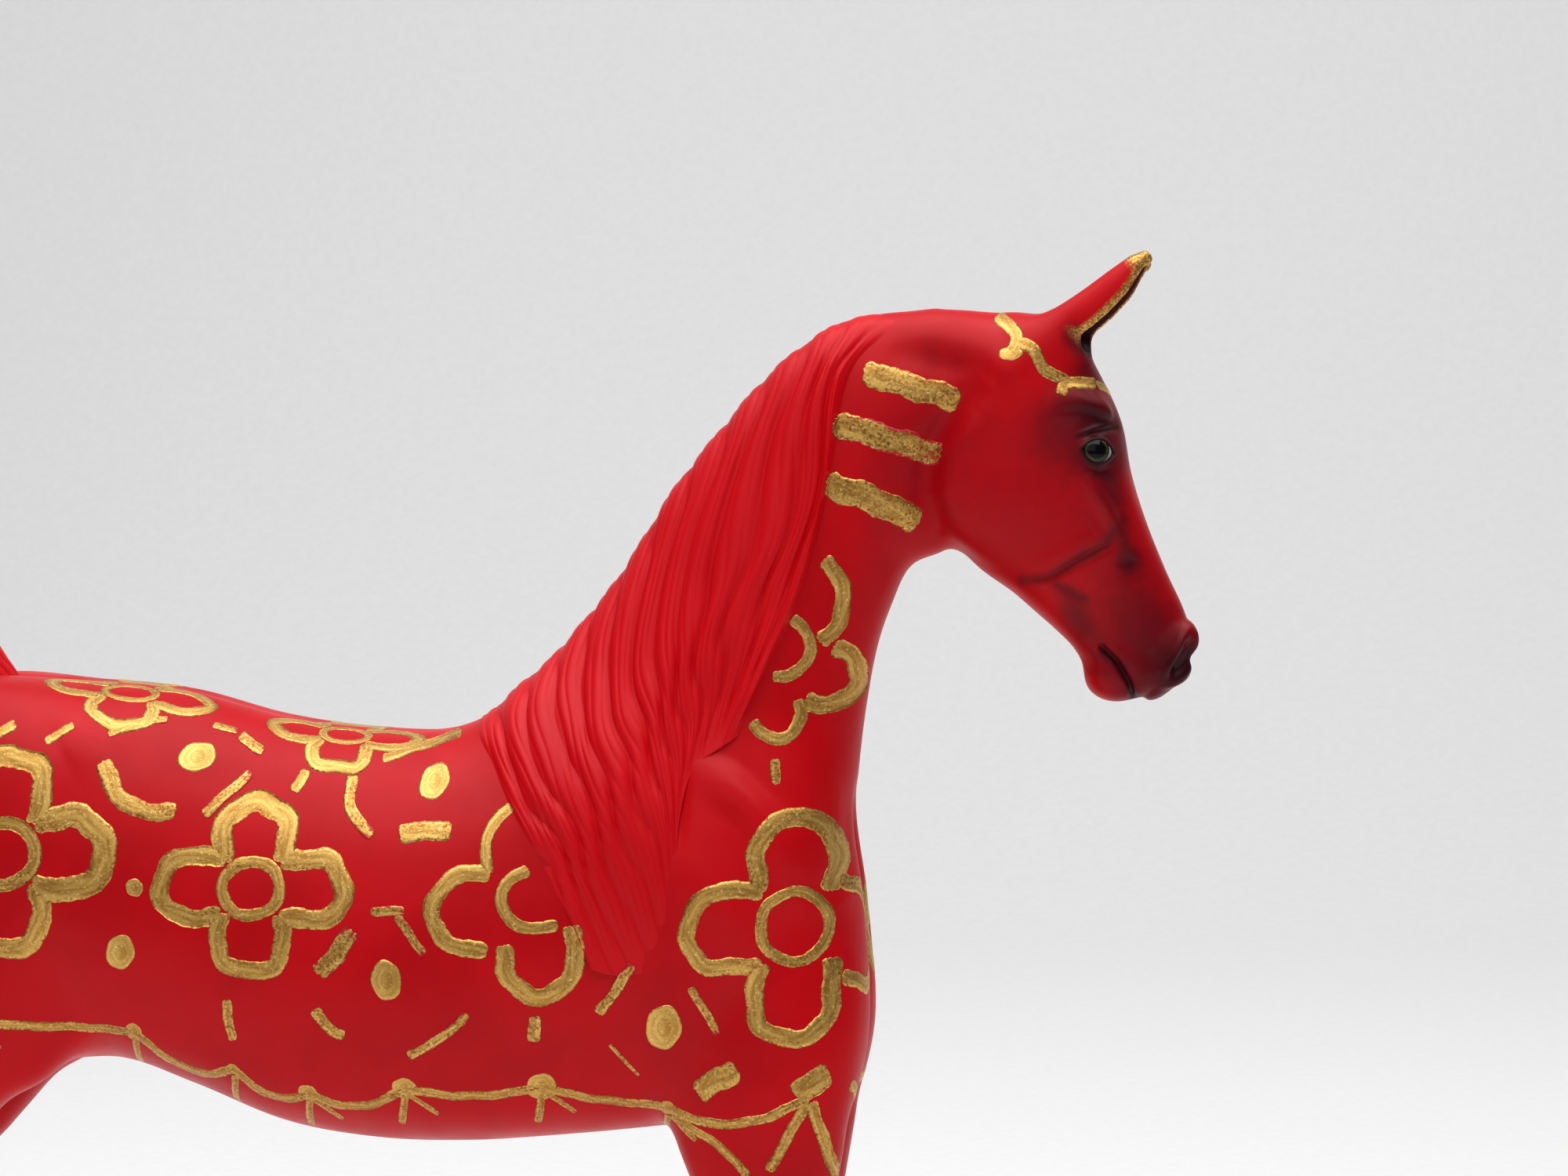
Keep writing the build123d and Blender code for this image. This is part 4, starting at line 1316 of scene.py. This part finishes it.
def arc(x, z, half_length, half_height, start, end):
    """Places along part of an ellipse, from one angle in degrees to another."""
    turns = np.radians(np.linspace(start, end, 8))
    return [(x + half_length * cos(t), z + half_height * sin(t)) for t in turns]


def dash(x, z, length, tilt, bend):
    """Places along a short stroke about its middle, tilted in degrees and bent aside in its middle."""
    c, s = cos(radians(tilt)), sin(radians(tilt))
    places = [(length * t, bend * (1 - 4 * t * t)) for t in (-0.5, -0.25, 0, 0.25, 0.5)]
    return [(x + a * c - b * s, z + a * s + b * c) for a, b in places]


def swag(start, end, hang):
    """Places along a garland that hangs between two knots."""
    run, rise = end[0] - start[0], end[1] - start[1]
    parts = (0, 0.25, 0.5, 0.75, 1)
    return [(start[0] + t * run, start[1] + t * rise - hang * 4 * t * (1 - t)) for t in parts]


def look_from(way, side):
    """Way a stroke is laid on: its two axes and the direction of the brush."""
    if way == "side":
        return Vector((1, 0, 0)), Vector((0, 0, 1)), Vector((0, -side, 0))
    if way == "top":
        return Vector((1, 0, 0)), Vector((0, 1, 0)), Vector((0, 0, -1))
    return Vector((0, 1, 0)), Vector((0, 0, 1)), Vector((-1, 0, 0))


# Paint: height at its edge, rise to its middle, and how far it goes into the skin
PAINT_EDGE, PAINT_CROWN, PAINT_DEPTH = 0.02, 0.05, 0.2
# Where a brush comes from, and where it looks for the nearest skin when it misses
BRUSH_START, MISS_START = 300, 8
# Petal: turn from its direction in degrees, and reach as a part of the flower's half size
PETAL = ((-44, 0.48), (-30, 0.74), (-18, 0.94), (0, 1.0), (18, 0.94), (30, 0.74), (44, 0.48))


class Brush:
    """Lays strokes of thick paint on the model and collects them in one mesh."""

    def __init__(self, tree):
        self.tree = tree
        self.points, self.faces = [], []
        self.across, self.along, self.thin = [], [], []
        self.randoms = np.random.default_rng(7)

    def land(self, flat, way, side):
        """Places on the model below places of the flat drawing."""
        first, second, towards = look_from(way, side)
        landed = np.empty((len(flat), 3))
        for i, (a, b) in enumerate(flat):
            start = first * a + second * b - towards * BRUSH_START
            hit = self.tree.ray_cast(start, towards)[0]
            if hit is None:
                hit = self.tree.find_nearest(first * a + second * b - towards * MISS_START)[0]
            landed[i] = hit[:]
        return landed

    def lay(self, flat, shape, way, side, across, along, thin):
        """Closed sheet of paint over a grid of flat places."""
        rows, columns = shape
        base = self.land(flat, way, side)
        out = body_sampler.normal(base)
        crown = PAINT_EDGE + PAINT_CROWN * (1 - np.abs(across) ** 3)
        top = base + out * crown[:, None]
        under = base - out * PAINT_DEPTH
        faces_in = np.cross(top[columns] - top[0], top[1] - top[0]) @ out[0] > 0
        self.faces += (closed_sheet(rows, columns, faces_in) + len(self.points)).tolist()
        self.points += np.concatenate([top, under]).tolist()
        self.across += np.tile(across, 2).tolist()
        self.along += np.tile(along, 2).tolist()
        self.thin += np.tile(thin, 2).tolist()

    def stroke(self, line, width, dry, way="side", side=-1):
        """Stroke along a line, with blunt wavering ends and edges."""
        line = np.array(line, float)
        spans = len(line) - 1
        fine_at = np.linspace(0, spans, 40 * spans + 1)
        fine = through(line, fine_at) if spans > 1 else line[0] + fine_at[:, None] * (line[1] - line[0])
        lengths = np.concatenate([[0], np.cumsum(np.hypot(*np.diff(fine, axis=0).T))])
        rows = max(14, int(1.4 * lengths[-1] / STROKE_STEP))
        columns = max(7, int(width / STROKE_STEP) + 1)
        t = np.linspace(0, 1, rows)
        s = -0.2 * width + (lengths[-1] + 0.4 * width) * (t - 0.11 * np.sin(2 * pi * t))
        middle = np.stack([np.interp(s, lengths, fine[:, k]) for k in (0, 1)], axis=1)
        run = np.gradient(fine, axis=0)
        run = np.stack([np.interp(s, lengths, run[:, k]) for k in (0, 1)], axis=1)
        run /= np.linalg.norm(run, axis=1, keepdims=True) + 1e-9
        beyond = s - np.clip(s, 0, lengths[-1])
        middle = middle + run * beyond[:, None]
        normal = np.stack([-run[:, 1], run[:, 0]], axis=1)
        c = np.linspace(-1, 1, columns)
        to_end = np.minimum(s - s[0], s[-1] - s) / (0.32 * width)
        blunt = 0.50 + 0.50 * np.sqrt(np.clip(1 - (1 - np.clip(to_end, 0, 1)) ** 2, 0, 1))
        seed = self.randoms.uniform(0, 100, 4)
        waver = [
            1
            + 0.06 * np.sin(1.1 * s + seed[k])
            + 0.04 * np.sin(2.9 * s + seed[k + 1])
            + 0.012 * np.sin(6 * s + seed[k + 2])
            for k in (0, 1)
        ]
        half = np.where(c[None, :] < 0, waver[0][:, None], waver[1][:, None]) * blunt[:, None] * width / 2
        drift = 0.05 * width * np.sin(0.9 * s + seed[3])
        aside = c[None, :, None] * half[:, :, None] + drift[:, None, None]
        flat = middle[:, None, :] + normal[:, None, :] * aside
        fray = self.randoms.uniform(-1, 1, columns) * width * 0.05
        ends = np.clip(1 - to_end, 0, 1)[:, None] * fray[None, :] * np.sign(s - s.mean())[:, None]
        flat = flat + run[:, None, :] * ends[:, :, None]
        edge = ramp(np.abs(c), 0.62, 1.0)[None, :] * (0.10 + 0.95 * dry)
        tail = ramp(s / s[-1], 0.72, 1.05)[:, None] * (0.05 + 0.60 * dry)
        thin = np.clip(edge + tail + 0.45 * dry, 0, 1.15)
        across = np.broadcast_to(c[None, :], thin.shape)
        along = np.broadcast_to(s[:, None], thin.shape)
        self.lay(flat.reshape(-1, 2), thin.shape, way, side, across.ravel(), along.ravel(), thin.ravel())

    def ring(self, middle, half, width, way="side", side=-1):
        """Ring drawn in one go, its end running a little over its start."""
        start = self.randoms.uniform(0, 2 * pi)
        turns = np.linspace(start, start + 2 * pi + 0.25, 14)
        line = [(middle[0] + half[0] * cos(t), middle[1] + half[1] * sin(t)) for t in turns]
        self.stroke(line, width, 0.2, way, side)

    def dot(self, middle, half, way="side", side=-1):
        """Blob of paint with an uneven edge."""
        count = max(15, int(max(half) * 2 / STROKE_STEP) | 1)
        seed = self.randoms.uniform(0, 10, 2)
        u, v = np.meshgrid(np.linspace(-1, 1, count), np.linspace(-1, 1, count), indexing="ij")
        u, v = u * np.sqrt(1 - v * v / 2), v * np.sqrt(1 - u * u / 2)
        far, turn = np.hypot(u, v), np.arctan2(v, u)
        wobble = 1 + far * (0.06 * np.sin(2 * turn + seed[0]) + 0.03 * np.sin(5 * turn + seed[1]))
        flat = np.stack([middle[0] + half[0] * u * wobble, middle[1] + half[1] * v * wobble], axis=-1)
        thin = ramp(far, 0.8, 1.0) * 0.2
        self.lay(flat.reshape(-1, 2), u.shape, way, side, far.ravel(), (u * half[0]).ravel(), thin.ravel())

    def flower(self, middle, half, width, way, side, petals):
        """Round petals, four in all or some of them, and a ring."""
        for petal in petals:
            quarter = ALL_PETALS.index(petal)
            line = []
            for turn, far in PETAL:
                angle = radians(90 * quarter + turn + self.randoms.uniform(-2, 2))
                reach = far * self.randoms.uniform(0.96, 1.04)
                across, up = half[0] * reach * cos(angle), half[1] * reach * sin(angle)
                line.append((middle[0] + across, middle[1] + up))
            self.stroke(line, width * self.randoms.uniform(0.9, 1.1), 0.15, way, side)
        self.ring(middle, (half[0] * 0.32, half[1] * 0.32), width * 0.6, way, side)

    def finish(self, name):
        made = mesh_object(name, self.points, self.faces, gold)
        give(made, across=self.across, along=self.along, thin=self.thin)
        return piece(made, "gold_paint")


def gilding():
    """Brushwork of both sides: flowers, bars, dashes, bridle, garland, tassels and dots."""
    mane_object = bpy.data.objects["mane_locks"]
    mane_points = [v.co / MM for v in mane_object.data.vertices]
    mane_faces = [[i + len(skin_points) for i in p.vertices] for p in mane_object.data.polygons]
    points = skin_points.tolist() + [p[:] for p in mane_points]
    tree = BVHTree.FromPolygons(points, list(skin_faces) + mane_faces)
    for side, hand in SIDES:
        brush = Brush(tree)
        for way, first, second, half_first, half_second, width, petals in SIDE_FLOWERS + FLOWERS[hand]:
            brush.flower((first, second), (half_first, half_second), width, way, side, petals)
        for *shape, width in MANE_SIDE_ARCS if side < 0 else []:
            brush.stroke(arc(*shape), width, 0.1, "side", side)
        for *shape, width, dry in BARS + DASHES:
            brush.stroke(dash(*shape), width, dry, "side", side)
        for width, line in BRIDLE + TASSELS:
            brush.stroke(line, width, 0.3, "side", side)
        for (x, z, width, hang), following in zip(KNOTS, KNOTS[1:]):
            brush.stroke(swag((x, z), following, hang), 1.7, 0.3, "side", side)
            brush.dot((x, z), (width / 2, width / 2), "side", side)
            brush.stroke([(x, z - 1.5), (x - 1.5, z - 7)], 1.3, 0.4, "side", side)
            brush.stroke([(x + 1, z - 1.5), (x + 5, z - 5)], 1.0, 0.4, "side", side)
        for x, z, half_length, half_height in DOTS:
            brush.dot((x, z), (half_length, half_height), "side", side)
        for width, dry, line in FRONT_STROKES:
            brush.stroke([(-side * y, z) for y, z in line], width, dry, "front", side)
        brush.finish(f"{hand}_gold_strokes")


gilding()

leg_wires = [f"{hand}_{kind}leg_wire" for kind in ("fore", "hind") for _, hand in SIDES]
for node in [*leg_wires, "tail_wire"]:
    wire = bpy.data.objects[node]
    wire.data.materials.clear()
    wire.data.materials.append(steel)

# ---------------------------------------------------------------- studio


def area_light(name, place, aim, size, power):
    """Rectangular lamp at a place, turned to its aim; sizes in metres, power in watts."""
    data = bpy.data.lights.new(name, "AREA")
    data.shape = "RECTANGLE"
    data.size, data.size_y = size
    data.energy = power
    made = bpy.data.objects.new(name, data)
    made.location = place
    made.rotation_euler = (Vector(aim) - Vector(place)).to_track_quat("-Z", "Y").to_euler()
    bpy.context.collection.objects.link(made)


def paper(name):
    """Matt white sweep paper with a faint tooth."""
    shader = Shader(name)
    fibre = shader.noise(240, 3)
    colour = shader.mix(shader.range(fibre, 0.3, 0.7), (0.89, 0.885, 0.88, 1), (0.91, 0.905, 0.90, 1))
    return shader.finish(Base_Color=colour, Roughness=0.9, Normal=shader.bump(fibre, 0.1, 0.0005))


def sweep():
    """Seamless floor that rises into a backdrop."""
    path = [(-3.2, 0.0), (-1.3, 0.0), (-0.6, 0.0), (0.0, 0.0), (0.4, 0.0), (0.8, 0.0)]
    bend = 0.5
    for k in range(1, 25):
        angle = pi / 2 * k / 24
        path.append((0.95 + bend * sin(angle), bend - bend * cos(angle)))
    path += [(1.45, 0.9), (1.45, 1.6), (1.45, 2.2)]
    columns = [-3.0 + 0.25 * k for k in range(25)]
    points = [(x * 1000, y * 1000, z * 1000 - 0.05) for y, z in path for x in columns]
    n = len(columns)
    faces = [
        [i * n + j, i * n + j + 1, (i + 1) * n + j + 1, (i + 1) * n + j]
        for i in range(len(path) - 1)
        for j in range(n - 1)
    ]
    made = mesh_object("sweep_paper", points, faces, paper("sweep_paper"))


sweep()
camera_data = bpy.data.cameras.new("camera")
camera_data.lens = 85
camera_data.sensor_width = 36
camera = bpy.data.objects.new("camera", camera_data)
bpy.context.collection.objects.link(camera)
bpy.context.scene.camera = camera
aim = Vector((0.0664, 0, 0.1916))
yaw, pitch, distance = radians(5), radians(2), 0.645
back = Vector((sin(yaw) * cos(pitch), -cos(yaw) * cos(pitch), sin(pitch)))
camera.location = aim + back * distance
camera.rotation_euler = (-back).to_track_quat("-Z", "Y").to_euler()

area_light("top_softbox", (0.05, -0.22, 0.95), (0.0, 0.0, 0.15), (1.1, 0.8), 6.8)
area_light("front_softbox", (-0.05, -1.0, 0.65), (0.0, 0.0, 0.16), (0.9, 0.6), 1.05)
area_light("paper_light", (0.0, 0.45, 1.4), (0.0, 1.0, 0.05), (2.8, 0.9), 11.5)
world = bpy.data.worlds.new("studio")
bpy.context.scene.world = world
world.use_nodes = True
world.node_tree.nodes["Background"].inputs["Color"].default_value = (0.92, 0.95, 1.0, 1)
world.node_tree.nodes["Background"].inputs["Strength"].default_value = 0.13
bpy.context.scene.view_settings.view_transform = "Standard"
bpy.context.scene.view_settings.look = "Medium High Contrast"
